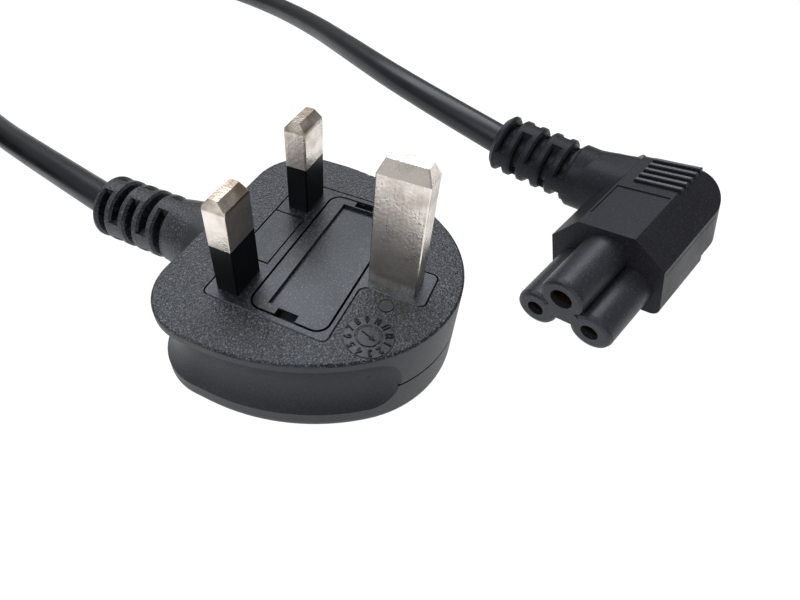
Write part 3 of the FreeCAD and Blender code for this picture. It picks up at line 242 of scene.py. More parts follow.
@dataclass(frozen=True)
class SparkErodedPvc(Finish):
    """Soft PVC moulded in a spark-eroded tool.

    The eye gets a face and a cord end that glitter grey on black, above sides and finger grips that
    are plainly satin. The glitter is partly real, from the craters' bumps under the lamps, and partly
    painted highlights: grey flecks of the light colour at a grain's peaks, fewer on the grips. The
    craters are about 0.1 mm wide on the real plug and would vanish in the render, so they are drawn
    0.42 mm wide, with painted glints of 0.26 mm.
    """

    name: str = "Spark-eroded PVC"
    colour: str = "0d0d0f"
    # light is the grey of the painted highlights at the grain's peaks.
    light: str = "64676d"
    craters: Grain = Grain(0.42, 3.0)
    peaks: Grain = Grain(0.26)
    satin: Grain = Grain(0.16, 1.0)
    depth_mm: float = 0.2
    # The craters cover what is higher than this, and more weakly what is nearer the cord than foot_mm.
    face_high_mm: float = 17.3
    face_fade_mm: float = 0.2
    foot_mm: float = -16.5
    foot_fade_mm: float = 1.0
    foot_share: float = 0.75
    # Sheen of the face and of the grips, and how much of the painted glints and of the depth the grips
    # keep.
    face_roughness: float = 0.33
    grip_roughness: float = 0.46
    grip_glints: float = 0.15
    grip_depth: float = 0.25

    def shade(self, tree: bpy.types.NodeTree, place: bpy.types.NodeSocket) -> bpy.types.Node:
        """Builds the shader.

        Args:
            tree: The material's tree.
            place: The point shaded, in the object's frame, in metres.

        Returns:
            The node whose first output is the surface.
        """
        spot = add_node(tree, "ShaderNodeSeparateXYZ", inputs={"Vector": place}).outputs
        face = add_node(tree, "ShaderNodeMapRange", inputs={
            "Value": spot["Z"], "From Min": (self.face_high_mm - self.face_fade_mm) * MM,
            "From Max": self.face_high_mm * MM})
        foot = add_node(tree, "ShaderNodeMapRange", inputs={
            "Value": spot["Y"], "From Min": self.foot_mm * MM,
            "From Max": (self.foot_mm + self.foot_fade_mm) * MM,
            "To Min": self.foot_share, "To Max": 0.0})
        eroded = add_node(tree, "ShaderNodeMath", {"operation": "MAXIMUM"}, {
            "0": face.outputs[0], "1": foot.outputs[0]}).outputs[0]
        height = add_node(tree, "ShaderNodeMix", {"data_type": "FLOAT"}, {
            "Factor": eroded, "A": self.satin.draw(tree, place), "B": self.craters.draw(tree, place)})
        # Painted highlights: grey flecks at the grain's peaks, fainter on the grips.
        glints = add_node(tree, "ShaderNodeMapRange", inputs={
            "Value": self.peaks.draw(tree, place), **GLINT_RANGE})
        share = add_node(tree, "ShaderNodeMapRange", inputs={
            "Value": eroded, "To Min": self.grip_glints, "To Max": 1.0})
        lit = add_node(tree, "ShaderNodeMath", {"operation": "MULTIPLY"}, {
            "0": glints.outputs[0], "1": share.outputs[0]})
        colour = add_node(tree, "ShaderNodeMix", {"data_type": "RGBA"}, {
            "Factor": lit.outputs[0], "A": linear(self.colour), "B": linear(self.light)})
        rough = add_node(tree, "ShaderNodeMapRange", inputs={
            "Value": eroded, "To Min": self.grip_roughness, "To Max": self.face_roughness})
        depth = add_node(tree, "ShaderNodeMapRange", inputs={
            "Value": eroded, "To Min": self.grip_depth, "To Max": 1.0})
        bump = add_node(tree, "ShaderNodeBump", inputs={
            "Height": height.outputs["Result"], "Distance": self.depth_mm * MM,
            "Strength": depth.outputs[0]})
        return add_node(tree, "ShaderNodeBsdfPrincipled", inputs={
            "Base Color": colour.outputs["Result"], "Roughness": rough.outputs[0],
            "Normal": bump.outputs[0], "IOR": 1.53, "Specular Tint": linear(COOL_SHEEN)})


@dataclass(frozen=True)
class NickelPlate(Finish):
    """Dull nickel plate over drawn brass.

    The eye gets warm silver sides with broken reflections, faint lines along the pin, and ends
    rubbed browner by use. Its pits are a few hundredths of a millimetre wide and would vanish in
    the render, so they are drawn 0.45 mm wide and shallow.
    """

    name: str
    # A pin is rubbed above this. One that keeps its plate gets a height that it doesn't reach.
    end_high_mm: float
    colour: str = "f3ece4"
    worn: str = "d6ccc2"
    tarnished: str = "8f7f70"
    roughness: float = 0.29
    clouds: Grain = Grain(3.0, 4.0)
    pits: Grain = Grain(0.45, 1.0)
    lines: Grain = Grain(0.5, 2.0, (1.0, 1.0, 0.06))
    depth_mm: float = 0.03
    least_rubbed: float = 0.45

    def shade(self, tree: bpy.types.NodeTree, place: bpy.types.NodeSocket) -> bpy.types.Node:
        """Builds the shader.

        Args:
            tree: The material's tree.
            place: The point shaded, in the object's frame, in metres.

        Returns:
            The node whose first output is the surface.
        """
        clouds = self.clouds.draw(tree, place)
        thin = add_node(tree, "ShaderNodeMapRange", inputs={
            "Value": clouds, "From Min": 0.42, "From Max": 0.68})
        plate = add_node(tree, "ShaderNodeMix", {"data_type": "RGBA"}, {
            "Factor": thin.outputs[0], "A": linear(self.colour), "B": linear(self.worn)})
        spot = add_node(tree, "ShaderNodeSeparateXYZ", inputs={"Vector": place}).outputs
        end = add_node(tree, "ShaderNodeMapRange", inputs={
            "Value": spot["Z"], "From Min": (self.end_high_mm - 0.1) * MM,
            "From Max": (self.end_high_mm + 0.2) * MM})
        rubbed = add_node(tree, "ShaderNodeMapRange", inputs={
            "Value": clouds, "From Min": 0.35, "From Max": 0.65, "To Min": self.least_rubbed})
        tarnish = add_node(tree, "ShaderNodeMath", {"operation": "MULTIPLY"}, {
            "0": end.outputs[0], "1": rubbed.outputs[0]})
        colour = add_node(tree, "ShaderNodeMix", {"data_type": "RGBA"}, {
            "Factor": tarnish.outputs[0], "A": plate.outputs["Result"], "B": linear(self.tarnished)})
        rough = add_node(tree, "ShaderNodeMapRange", inputs={
            "Value": clouds, **CLOUD_RANGE,
            "To Min": self.roughness - 0.06, "To Max": self.roughness + 0.10})
        relief = add_node(tree, "ShaderNodeMath", {"operation": "ADD"}, {
            "0": self.pits.draw(tree, place), "1": self.lines.draw(tree, place)})
        bump = add_node(tree, "ShaderNodeBump", inputs={
            "Height": relief.outputs[0], "Distance": self.depth_mm * MM, "Strength": 1.0})
        return add_node(tree, "ShaderNodeBsdfPrincipled", inputs={
            "Base Color": colour.outputs["Result"], "Metallic": 1.0, "Roughness": rough.outputs[0],
            "Normal": bump.outputs[0]})


@dataclass(frozen=True)
class BareMetal(Finish):
    """Formed sheet or wire.

    The eye gets a clean metal with reflections drawn out along its rolling marks. The marks are
    about 0.02 mm apart and would vanish in the render, so they are drawn 0.2 mm apart.
    """

    name: str
    colour: str
    roughness: float
    marks: Grain = Grain(0.2, 2.0, (0.1, 1.0, 1.0))
    depth_mm: float = 0.004

    def shade(self, tree: bpy.types.NodeTree, place: bpy.types.NodeSocket) -> bpy.types.Node:
        """Builds the shader.

        Args:
            tree: The material's tree.
            place: The point shaded, in the object's frame, in metres.

        Returns:
            The node whose first output is the surface.
        """
        marks = self.marks.draw(tree, place)
        rough = add_node(tree, "ShaderNodeMapRange", inputs={
            "Value": marks, **CLOUD_RANGE,
            "To Min": self.roughness - 0.05, "To Max": self.roughness + 0.08})
        bump = add_node(tree, "ShaderNodeBump", inputs={
            "Height": marks, "Distance": self.depth_mm * MM, "Strength": 1.0})
        return add_node(tree, "ShaderNodeBsdfPrincipled", inputs={
            "Base Color": linear(self.colour), "Metallic": 1.0, "Roughness": rough.outputs[0],
            "Normal": bump.outputs[0]})


@dataclass(frozen=True)
class TwoColourPvc(Finish):
    """Core insulation extruded in two colours: the eye gets green with yellow stripes along it."""

    name: str = "Green and yellow core PVC"
    green: str = "2f7d32"
    yellow: str = "e6cf2a"
    stripe_mm: float = 2.0

    def shade(self, tree: bpy.types.NodeTree, place: bpy.types.NodeSocket) -> bpy.types.Node:
        """Builds the shader.

        Args:
            tree: The material's tree.
            place: The point shaded, in the object's frame, in metres.

        Returns:
            The node whose first output is the surface.
        """
        wave = add_node(tree, "ShaderNodeTexWave", {"bands_direction": "X"}, {
            "Vector": place, "Scale": 1 / (self.stripe_mm * MM * 2 * math.pi), "Distortion": 0.0})
        stripe = add_node(tree, "ShaderNodeMapRange", inputs={
            "Value": wave.outputs[1], "From Min": 0.48, "From Max": 0.52})
        colour = add_node(tree, "ShaderNodeMix", {"data_type": "RGBA"}, {
            "Factor": stripe.outputs[0], "A": linear(self.green), "B": linear(self.yellow)})
        return add_node(tree, "ShaderNodeBsdfPrincipled", inputs={
            "Base Color": colour.outputs["Result"], "Roughness": 0.4, "IOR": 1.53})


class Palette(Enum):
    """The finishes of the plug, its cord and its connector."""

    # The plug's moulding: a glittering face over satin sides.
    OVERMOULD = SparkErodedPvc()
    # Nylon off a finely etched tool: flatter and a touch blacker than the face round it, with painted
    # glints.
    CARRIER = MouldedPolymer("Satin nylon", "0e0f11", "141518", roughness=0.34, spread=0.05,
                             texture_mm=0.4, depth_mm=0.03, glint="4e5157")
    # Smooth nylon over the pins' roots: nearly pure black, with a narrow dull highlight.
    SLEEVE = MouldedPolymer("Black nylon sleeving", "030303", "050506", roughness=0.34, spread=0.06,
                            texture_mm=0.3, depth_mm=0.004, specular=0.3)
    # PVC drawn through a smooth die: a long soft highlight that runs down the cord.
    SHEATH = MouldedPolymer("Extruded PVC sheath", "0b0b0d", "101012", roughness=0.36, spread=0.05,
                            texture_mm=0.35, depth_mm=0.006)
    # Soft PVC off a satin tool: an even charcoal that hardly mirrors the lamps, with faint painted
    # glints.
    CONNECTOR = MouldedPolymer("Satin PVC", "1f1f24", "26262c", roughness=0.42, spread=0.05,
                               texture_mm=0.45, depth_mm=0.05, glint="33333a", specular=0.16)
    # Nylon with glass fibres at its skin: greyer than the connector round it, with a soft sheen and
    # faint painted glints.
    INSERT = MouldedPolymer("Glass-filled nylon", "232328", "29292f", roughness=0.42, spread=0.05,
                            texture_mm=0.45, depth_mm=0.04, glint="3e3e46", specular=0.45)
    # A fired glaze: cream white under a clear gloss.
    CERAMIC = MouldedPolymer("Glazed ceramic", "ece8de", "e2ddd0", roughness=0.2, spread=0.04,
                             texture_mm=0.4, depth_mm=0.004)
    # Extruded insulation of the live core: a warm brown with a soft sheen.
    BROWN = MouldedPolymer("Brown core PVC", "5a3318", "66401f", roughness=0.4, spread=0.05,
                           texture_mm=0.3, depth_mm=0.004)
    # Extruded insulation of the neutral core: a clear blue with a soft sheen.
    BLUE = MouldedPolymer("Blue core PVC", "1c4fa3", "2458ad", roughness=0.4, spread=0.05,
                          texture_mm=0.3, depth_mm=0.004)
    # Extruded insulation of the earth core: green, striped yellow.
    STRIPED = TwoColourPvc()
    # PVC off a polished steel insert: darker and smoother than the grain round it, with painted glints.
    DIAL = MouldedPolymer("PVC off a polished insert", "0b0b0d", "121214", roughness=0.36, spread=0.05,
                          texture_mm=0.4, depth_mm=0.04, glint="3a3c41")
    # PVC off engraved numbers, painted near black for the shade on their steep sides: they stand out
    # black against the lighter ring.
    NUMBERS = MouldedPolymer("PVC numbers with painted shade", "050506", "070708", roughness=0.3, spread=0.04,
                             texture_mm=0.3, depth_mm=0.01, specular=0.2)
    # Painted highlights on the ribs' crowns: strips of a paler PVC, with painted glints, so that the
    # ribs read as stripes.
    RIBS = MouldedPolymer("PVC rib crowns with painted highlight", "3a3a40", "44444b", roughness=0.34, spread=0.05,
                          texture_mm=0.3, depth_mm=0.02, glint="5a5a61", specular=0.6)
    # PVC squeezed between the mould's halves: a hairline ridge, painted near black for the thin shadow
    # along it, so it reads as a dark seam.
    SEAM = MouldedPolymer("PVC seam with painted shadow", "050506", "060607", roughness=0.6, spread=0.04,
                          texture_mm=0.3, depth_mm=0.01, specular=0.1)
    # Plate that sockets have rubbed: silver sides under browner ends.
    LINE_NICKEL = NickelPlate("Nickel-plated brass, line pins", end_high_mm=33.3)
    # Plate that has kept its skin: one silver from foot to end.
    EARTH_NICKEL = NickelPlate("Nickel-plated brass, earth pin", end_high_mm=60.0)
    # Stamped and folded sheet: a bright yellow metal in the fuse's well.
    BRASS = BareMetal("Sheet brass", "c9a45c", roughness=0.26)
    # Stamped contacts, painted a dim brown for the shade deep in the bores.
    CONTACT = BareMetal("Phosphor bronze with painted shade", "6e5634", roughness=0.45)
    # Pressed and plated caps: the brightest metal on the fuse.
    CAPS = BareMetal("Plated fuse caps", "cfcbc4", roughness=0.2)
    # Drawn and tinned wire: a soft grey.
    WIRE = BareMetal("Tinned fuse wire", "c8c6c2", roughness=0.3)


def dress(frame: dict, nodes: list[str], finish: Palette) -> None:
    """Gives nodes of the frame a finish.

    Args:
        nodes: Names of the nodes.
        finish: Their finish.
    """
    for name in nodes:
        mesh = frame["nodes"][name].data
        mesh.materials.clear()
        mesh.materials.append(finish.value.material())
        log.info("dressed %s with %s", name, finish.value.name)


def piece(name: str, form: bmesh.types.BMesh, finish: Palette) -> None:
    """Makes an object of a form, dresses it and lets it ride on the plug's body.

    Args:
        name: The object's name.
        form: Its shape, in metres, which is freed.
        finish: Its finish.
    """
    mesh = bpy.data.meshes.new(name)
    form.to_mesh(mesh)
    form.free()
    mesh.materials.append(finish.value.material())
    made = bpy.data.objects.new(name, mesh)
    bpy.context.scene.collection.objects.link(made)
    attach(made, "plug")
    log.info("made %s with %d faces", name, len(mesh.polygons))


def turned(
    profile: list[tuple[float, float]],
    middle: tuple[float, float],
    steps: int = 72,
) -> bmesh.types.BMesh:
    """Spins a profile round an upright axis.

    Args:
        profile: Radius and height of each point, from the axis or round a closed ring.
        middle: Where the axis stands.
        steps: Facets in the round.

    Returns:
        The turned form, in metres.
    """
    form = bmesh.new()
    spots = [form.verts.new(((middle[0] + r) * MM, middle[1] * MM, z * MM)) for r, z in profile]
    edges = [form.edges.new(pair) for pair in zip(spots, spots[1:])]
    if profile[0][0] > 0:
        edges.append(form.edges.new((spots[-1], spots[0])))
    bmesh.ops.spin(form, geom=spots + edges, cent=(middle[0] * MM, middle[1] * MM, 0), axis=(0, 0, 1),
                   angle=2 * math.pi, steps=steps, use_merge=True)
    bmesh.ops.remove_doubles(form, verts=form.verts, dist=0.002 * MM)
    bmesh.ops.recalc_face_normals(form, faces=form.faces)
    return form


@dataclass(frozen=True)
class SoftLamp:
    """A soft box that points at the plug: its place and two sides in metres, its power in watts."""

    name: str
    place: tuple[float, float, float]
    wide: float
    tall: float
    power: float
    aim: tuple[float, float, float] = (0.0, 0.0, 0.01)

    def hang(self) -> None:
        """Adds the lamp to the scene."""
        data = bpy.data.lights.new(self.name, "AREA")
        data.shape = "RECTANGLE"
        data.size = self.wide
        data.size_y = self.tall
        data.energy = self.power
        lamp = bpy.data.objects.new(self.name, data)
        lamp.location = self.place
        towards = Vector(self.aim) - Vector(self.place)
        lamp.rotation_euler = towards.to_track_quat("-Z", "Y").to_euler()
        bpy.context.scene.collection.objects.link(lamp)
        log.info("hung the %s lamp", self.name)


@dataclass
class Studio:
    """The camera, the floor, the world and the lamps, in metres."""

    eye: tuple[float, float, float] = (0.056764, 0.039602, 0.080344)
    forward: tuple[float, float, float] = (-0.64365, -0.33968, -0.68581)
    down: tuple[float, float, float] = (0.61176, 0.31008, -0.72774)
    focal_px: float = 541.995
    frame_px: tuple[int, int] = (800, 600)
    centre_px: tuple[float, float] = (325.08, 243.71)
    sensor_mm: float = 36.0
    clip: tuple[float, float] = (0.005, 20.0)
    floor_size: float = 6.0
    floor_colour: str = "f6f6f6"
    # Strength of the plain white in the floor, and its share to the camera and to gloss.
    floor_white: float = 1.15
    floor_seen: float = 0.85
    floor_mirrored: float = 0.7
    # Strength of the world's light, and what is added to it where the camera sees the world.
    world_light: float = 0.32
    world_seen: float = 0.6
    # The key hangs behind the plug, so that the grain of the face glitters towards the camera.
    lamps: tuple[SoftLamp, ...] = (
        SoftLamp("key", (-0.385, -0.26, 0.67), 0.86, 0.4, 4.8),
        SoftLamp("fill", (0.52, -0.27, 0.60), 0.5, 0.5, 2.8),
    )

    def camera(self) -> None:
        """Sets the camera where the photograph was taken."""
        width, height = self.frame_px
        data = bpy.data.cameras.new("camera")
        data.sensor_fit = "HORIZONTAL"
        data.sensor_width = self.sensor_mm
        data.lens = self.sensor_mm * self.focal_px / width
        data.shift_x = (width / 2 - self.centre_px[0]) / width
        data.shift_y = (self.centre_px[1] - height / 2) / width
        data.clip_start, data.clip_end = self.clip
        camera = bpy.data.objects.new("camera", data)
        back = -Vector(self.forward).normalized()
        up = -Vector(self.down)
        up = (up - back * up.dot(back)).normalized()
        right = up.cross(back)
        turn = Matrix((right, up, back)).transposed().to_4x4()
        camera.matrix_world = Matrix.Translation(self.eye) @ turn
        bpy.context.scene.collection.objects.link(camera)
        bpy.context.scene.camera = camera

    def paper(self) -> bpy.types.Material:
        """Makes the floor's white paper, which takes shadows and looks a little whiter than it is lit.

        Returns:
            The material.
        """
        paper = bpy.data.materials.new("White paper")
        paper.use_nodes = True
        tree = paper.node_tree
        tree.nodes.clear()
        ray = add_node(tree, "ShaderNodeLightPath").outputs
        matt = add_node(tree, "ShaderNodeBsdfDiffuse", inputs={"Color": linear(self.floor_colour)})
        white = add_node(tree, "ShaderNodeEmission", inputs={
            "Color": (1, 1, 1, 1), "Strength": self.floor_white})
        mirrored = add_node(tree, "ShaderNodeMath", {"operation": "MULTIPLY"}, {
            "0": ray["Is Glossy Ray"], "1": self.floor_mirrored})
        share = add_node(tree, "ShaderNodeMath", {"operation": "MULTIPLY_ADD"}, {
            "0": ray["Is Camera Ray"], "1": self.floor_seen, "2": mirrored.outputs[0]})
        mixed = add_node(tree, "ShaderNodeMixShader", inputs={
            "0": share.outputs[0], "1": matt.outputs[0], "2": white.outputs[0]})
        add_node(tree, "ShaderNodeOutputMaterial", inputs={"Surface": mixed.outputs[0]})
        return paper

    def floor(self) -> None:
        """Lays a white table top under the plug."""
        form = bmesh.new()
        bmesh.ops.create_grid(form, x_segments=1, y_segments=1, size=self.floor_size / 2)
        mesh = bpy.data.meshes.new("table_top")
        form.to_mesh(mesh)
        form.free()
        mesh.materials.append(self.paper())
        table = bpy.data.objects.new("table_top", mesh)
        bpy.context.scene.collection.objects.link(table)
        log.info("laid the table top")

    def light(self) -> None:
        """Lights the set from above on two sides, with a white world all round."""
        world = bpy.data.worlds.new("studio")
        world.use_nodes = True
        tree = world.node_tree
        tree.nodes.clear()
        seen = add_node(tree, "ShaderNodeLightPath").outputs["Is Camera Ray"]
        level = add_node(tree, "ShaderNodeMath", {"operation": "MULTIPLY_ADD"}, {
            "0": seen, "1": self.world_seen, "2": self.world_light})
        sky = add_node(tree, "ShaderNodeBackground", inputs={
            "Color": (1, 1, 1, 1), "Strength": level.outputs[0]})
        add_node(tree, "ShaderNodeOutputWorld", inputs={"Surface": sky.outputs[0]})
        bpy.context.scene.world = world
        for lamp in self.lamps:
            lamp.hang()
        bpy.context.scene.view_settings.view_transform = "Standard"


@dataclass
class MainsCord:
    """The cord: from the plug's strain relief, through a coil, to the connector's strain relief."""

    diameter: float = 6.7
    length_m: float = 1.785
    leaves: tuple[float, float, float] = (0.0, -39.5, 10.0)
    near: list[tuple[float, float, float]] = field(default_factory=lambda: [
        (-5.8, -67.0, 9.0), (-13.1, -94.4, 6.2), (-22.5, -119.7, 3.4)])
    far: list[tuple[float, float, float]] = field(default_factory=lambda: [
        (-28.2, -161.8, 7.3), (-46.9, -185.7, 3.5), (-80.8, -195.7, 3.4), (-116.1, -185.7, 3.4),
        (-136.8, -155.4, 3.4), (-137.4, -115.7, 3.4), (-125.8, -81.3, 4.7), (-105.9, -50.4, 8.4),
        (-84.5, -24.2, 12.0), (-67.5, -0.6, 13.6)])
    arrives: tuple[float, float, float] = (-56.836, 25.933, 11.557)
    coil_middle: tuple[float, float] = (14.3, -135.0)
    coil_radius: float = 35.0
    turn_points: int = 14
    # Share of a turn that keeps its place, before the cord crosses over to the next one's.
    settled: float = 0.62

    def coil(self) -> list[tuple[float, float, float]]:
        """Works out the coil's control points, turn by turn, each turn beside or on the last.

        Returns:
            The points.
        """
        inner, outer = self.coil_radius - self.diameter / 2, self.coil_radius + self.diameter / 2
        low, mid, top = (self.diameter * (layer + 0.5) for layer in range(3))
        order = [(outer, low), (inner, low), (inner, mid), (inner, top), (outer, top), (outer, mid)]
        # A curve runs inside its control points, so they stand a little further out.
        swell = 1 / math.cos(math.pi / self.turn_points)
        points = []
        for step in range(self.turn_points * len(order) + 1):
            turn, part = divmod(step, self.turn_points)
            here = order[min(turn, len(order) - 1)]
            then = order[min(turn + 1, len(order) - 1)]
            share = max(0.0, part / self.turn_points - self.settled) / (1 - self.settled)
            share = share * share * (3 - 2 * share)
            radius = (here[0] + (then[0] - here[0]) * share) * swell
            height = here[1] + (then[1] - here[1]) * share
            angle = math.pi + 2 * math.pi * step / self.turn_points
            points.append((self.coil_middle[0] + radius * math.cos(angle),
                           self.coil_middle[1] + radius * math.sin(angle), height))
        return points

    def build(self) -> None:
        points = [self.leaves] + self.near + self.coil() + self.far + [self.arrives]
        data = bpy.data.curves.new("cord", "CURVE")
        data.dimensions = "3D"
        data.bevel_depth = self.diameter / 2 * MM
        data.bevel_resolution = 7
        data.resolution_u = 8
        data.use_fill_caps = True
        spline = data.splines.new("NURBS")
        spline.points.add(len(points) - 1)
        for spot, (x, y, z) in zip(spline.points, points):
            spot.co = (x * MM, y * MM, z * MM, 1.0)
        spline.order_u = 3
        spline.use_endpoint_u = True
        cord = bpy.data.objects.new("cord", data)
        bpy.context.scene.collection.objects.link(cord)
        data.materials.append(Palette.SHEATH.value.material())
        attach(cord, "plug")
        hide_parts("cord_lead", "cord_coil", "cord_far")
        log.info("made cord with %d points", len(points))


@dataclass
class DateDial:
    """The mould date dial on the face: a ring of plain numbers round a disc with an arrow."""

    middle: tuple[float, float] = (12.1, 22.9)
    face_high: float = 17.5
    sunk: float = 0.03
    ring_out: float = 3.8
    ring_in: float = 2.0
    disc_out: float = 1.85
    number_radius: float = 2.92
    number_size: float = 1.55
    number_lift: float = 0.1
    number_half_deep: float = 0.05
    number_bevel: float = 0.055
    letter_gap: float = 0.86
    one_digit_width: float = 0.95
    two_digit_width: float = 0.72
    # Angle of the place before the first number, in degrees. The numbers run clockwise from it.
    first_angle: float = 117.3
    arrow_lag: float = 45.0
    arrow_lift: float = 0.04
    arrow_deep: float = 0.16
    arrow_taper: tuple[float, float, float] = (0.93, 0.7, 1.0)
    arrow_outline: tuple[tuple[float, float], ...] = (
        (-1.3, -0.1), (0.55, -0.1), (0.45, -0.5), (1.35, 0.0), (0.45, 0.5), (0.55, 0.1), (-1.3, 0.1))
    mark_middle: tuple[float, float] = (5.7, 22.9)
    mark_out: float = 1.3

    def number(self, value: int, form: bmesh.types.BMesh) -> None:
        """Adds one raised number, its top outwards.

        Args:
            value: The number, from 1 to 12.
            form: The form that gets it, in metres.
        """
        text = bpy.data.curves.new("number", "FONT")
        text.body = str(value)
        text.size = self.number_size * MM
        text.align_x = "CENTER"
        text.align_y = "CENTER"
        text.extrude = self.number_half_deep * MM
        text.bevel_depth = self.number_bevel * MM
        text.bevel_resolution = 1
        text.resolution_u = 3
        text.space_character = self.letter_gap
        holder = bpy.data.objects.new("number", text)
        mesh = bpy.data.meshes.new_from_object(holder)
        angle = math.radians(self.first_angle - 30 * value)
        place = Vector((self.middle[0] + self.number_radius * math.cos(angle),
                        self.middle[1] + self.number_radius * math.sin(angle),
                        self.face_high + self.number_lift)) * MM
        width = self.two_digit_width if value > 9 else self.one_digit_width
        turn = Matrix.Rotation(angle - math.pi / 2, 4, "Z") @ Matrix.Diagonal((width, 1.0, 1.0, 1.0))
        mesh.transform(Matrix.Translation(place) @ turn)
        form.from_mesh(mesh)
        bpy.data.objects.remove(holder)
        bpy.data.curves.remove(text)
        bpy.data.meshes.remove(mesh)

    def arrow(self) -> bmesh.types.BMesh:
        """Shapes the arrow across the disc.

        Returns:
            The arrow, in metres.
        """
        form = bmesh.new()
        low = self.face_high + self.arrow_lift
        corners = [form.verts.new((x * MM, y * MM, low * MM)) for x, y in self.arrow_outline]
        raised = bmesh.ops.extrude_face_region(form, geom=[form.faces.new(corners)])
        tops = [spot for spot in raised["geom"] if isinstance(spot, bmesh.types.BMVert)]
        bmesh.ops.translate(form, verts=tops, vec=(0, 0, self.arrow_deep * MM))
        bmesh.ops.scale(form, verts=tops, vec=self.arrow_taper)
        turn = Matrix.Rotation(math.radians(self.first_angle - self.arrow_lag), 4, "Z")
        place = Matrix.Translation((self.middle[0] * MM, self.middle[1] * MM, 0))
        bmesh.ops.transform(form, matrix=place @ turn, verts=form.verts)
        bmesh.ops.recalc_face_normals(form, faces=form.faces)
        return form

    def button(
        self,
        out: float,
        flat: float,
        rim: float,
        steps_in: tuple[float, float, float],
    ) -> list[tuple[float, float]]:
        """Draws the profile of a round button with a raised rim.

        Args:
            out: Its radius.
            flat: Height of its middle over the face.
            rim: Height of its rim over the face.
            steps_in: How far in from its edge the rim's foot, inner crest and outer crest lie.

        Returns:
            Radius and height of each point.
        """
        foot, inner, outer = steps_in
        low, face = self.face_high - self.sunk, self.face_high
        return [(0.0, face + flat), (out - foot, face + flat), (out - inner, face + rim),
                (out - outer, face + rim), (out, low), (0.0, low)]

    def build(self) -> None:
        """Makes the ring, the disc, the arrow, the numbers and the plain round mark beside them."""
        low, face = self.face_high - self.sunk, self.face_high
        ring = [(self.ring_in, low), (self.ring_in, face + 0.03), (self.ring_in + 0.05, face + 0.06),
                (self.ring_out - 0.16, face + 0.06), (self.ring_out - 0.1, face + 0.12),
                (self.ring_out - 0.03, face + 0.12), (self.ring_out, low)]
        piece("dial_ring", turned(ring, self.middle), Palette.DIAL)
        disc = self.button(self.disc_out, flat=0.06, rim=0.14, steps_in=(0.2, 0.13, 0.04))
        piece("dial_disc", turned(disc, self.middle), Palette.DIAL)
        # The arrow and the numbers take the near-black finish that paints their shade.
        piece("dial_arrow", self.arrow(), Palette.NUMBERS)
        numbers = bmesh.new()
        for value in range(1, 13):
            self.number(value, numbers)
        piece("dial_numbers", numbers, Palette.NUMBERS)
        mark = self.button(self.mark_out, flat=0.03, rim=0.13, steps_in=(0.22, 0.15, 0.05))
        piece("round_mark", turned(mark, self.mark_middle, 48), Palette.DIAL)


@dataclass
class ReliefWebs:
    """The webs that join a strain relief's rings and are flush with them.

    The relief runs along its own Z axis from its free end. Its gaps have their two webs at its
    sides and at its top and bottom in turn.
    """

    name: str
    place: Matrix
    finish: Palette
    slot: str
    gaps: int = 5
    first: float = 1.9
    pitch: float = 3.4
    gap: float = 1.55
    overlap: float = 0.43
    inner: float = 4.05
    outer: float = 6.28
    half_angle: float = 16.0
    facets: int = 8

    def web(self, form: bmesh.types.BMesh, low: float, middle: float) -> None:
        """Adds one web.

        Args:
            form: The form that gets it, in the relief's own frame.
            low: Where it starts along the relief.
            middle: The angle of its middle, in degrees.
        """
        high = low + self.gap + 2 * self.overlap
        start = Matrix.Rotation(math.radians(middle - self.half_angle), 3, "Z")
        corners = [(self.inner, low), (self.outer, low), (self.outer, high), (self.inner, high)]
        spots = [form.verts.new(start @ Vector((r, 0, z))) for r, z in corners]
        edges = [form.edges.new((spots[i - 1], spots[i])) for i in range(4)]
        bmesh.ops.spin(form, geom=spots + edges, cent=(0, 0, 0), axis=(0, 0, 1),
                       angle=math.radians(2 * self.half_angle), steps=self.facets)

    def build(self) -> None:
        """Makes all the webs as one piece."""
        form = bmesh.new()
        for gap in range(self.gaps):
            first_side = 90 if gap % 2 == 0 else 0
            for middle in (first_side, first_side + 180):
                self.web(form, self.first + gap * self.pitch - self.overlap, middle)
        # Closes the two ends of each web.
        bmesh.ops.holes_fill(form, edges=form.edges, sides=4)
        bmesh.ops.transform(form, matrix=Matrix.Scale(MM, 4) @ self.place, verts=form.verts)
        bmesh.ops.recalc_face_normals(form, faces=form.faces)
        piece(self.name, form, self.finish)


@dataclass
class Plug:
    """The moulded plug with its pins, and what it holds apart from the fuse."""

    # The free end of its strain relief.
    relief_end: tuple[float, float, float] = (0.0, -39.5, 10.0)

    def build(self, frame: dict) -> None:
        """Dresses the plug's nodes, and makes the webs of its strain relief.
        """
        dress(frame, ["plug_body"], Palette.OVERMOULD)
        dress(frame, ["pin_carrier"], Palette.CARRIER)
        dress(frame, ["live_pin", "neutral_pin"], Palette.LINE_NICKEL)
        dress(frame, ["earth_pin"], Palette.EARTH_NICKEL)
        dress(frame, ["live_sleeve", "neutral_sleeve"], Palette.SLEEVE)
        dress(frame, ["fuse_clip_live", "fuse_clip_supply"], Palette.BRASS)
        dress(frame, ["crimp_live", "crimp_neutral", "crimp_earth"], Palette.BRASS)
        dress(frame, ["core_live"], Palette.BROWN)
        dress(frame, ["core_neutral"], Palette.BLUE)
        dress(frame, ["core_earth"], Palette.STRIPED)
        dress(frame, ["cord_end_plug"], Palette.SHEATH)
        place = Matrix.Translation(self.relief_end) @ Matrix.Rotation(math.radians(-90), 4, "X")
        ReliefWebs("plug_relief_webs", place, Palette.OVERMOULD, "plug_pvc").build()


@dataclass
class FuseCarrier:
    """The lift-out fuse carrier and its fuse."""

    def build(self, frame: dict) -> None:
        """Dresses the carrier's nodes.
        """
        dress(frame, ["fuse_carrier"], Palette.CARRIER)
        dress(frame, ["fuse_tube"], Palette.CERAMIC)
        dress(frame, ["fuse_cap_left", "fuse_cap_right"], Palette.CAPS)
        dress(frame, ["fuse_wire"], Palette.WIRE)


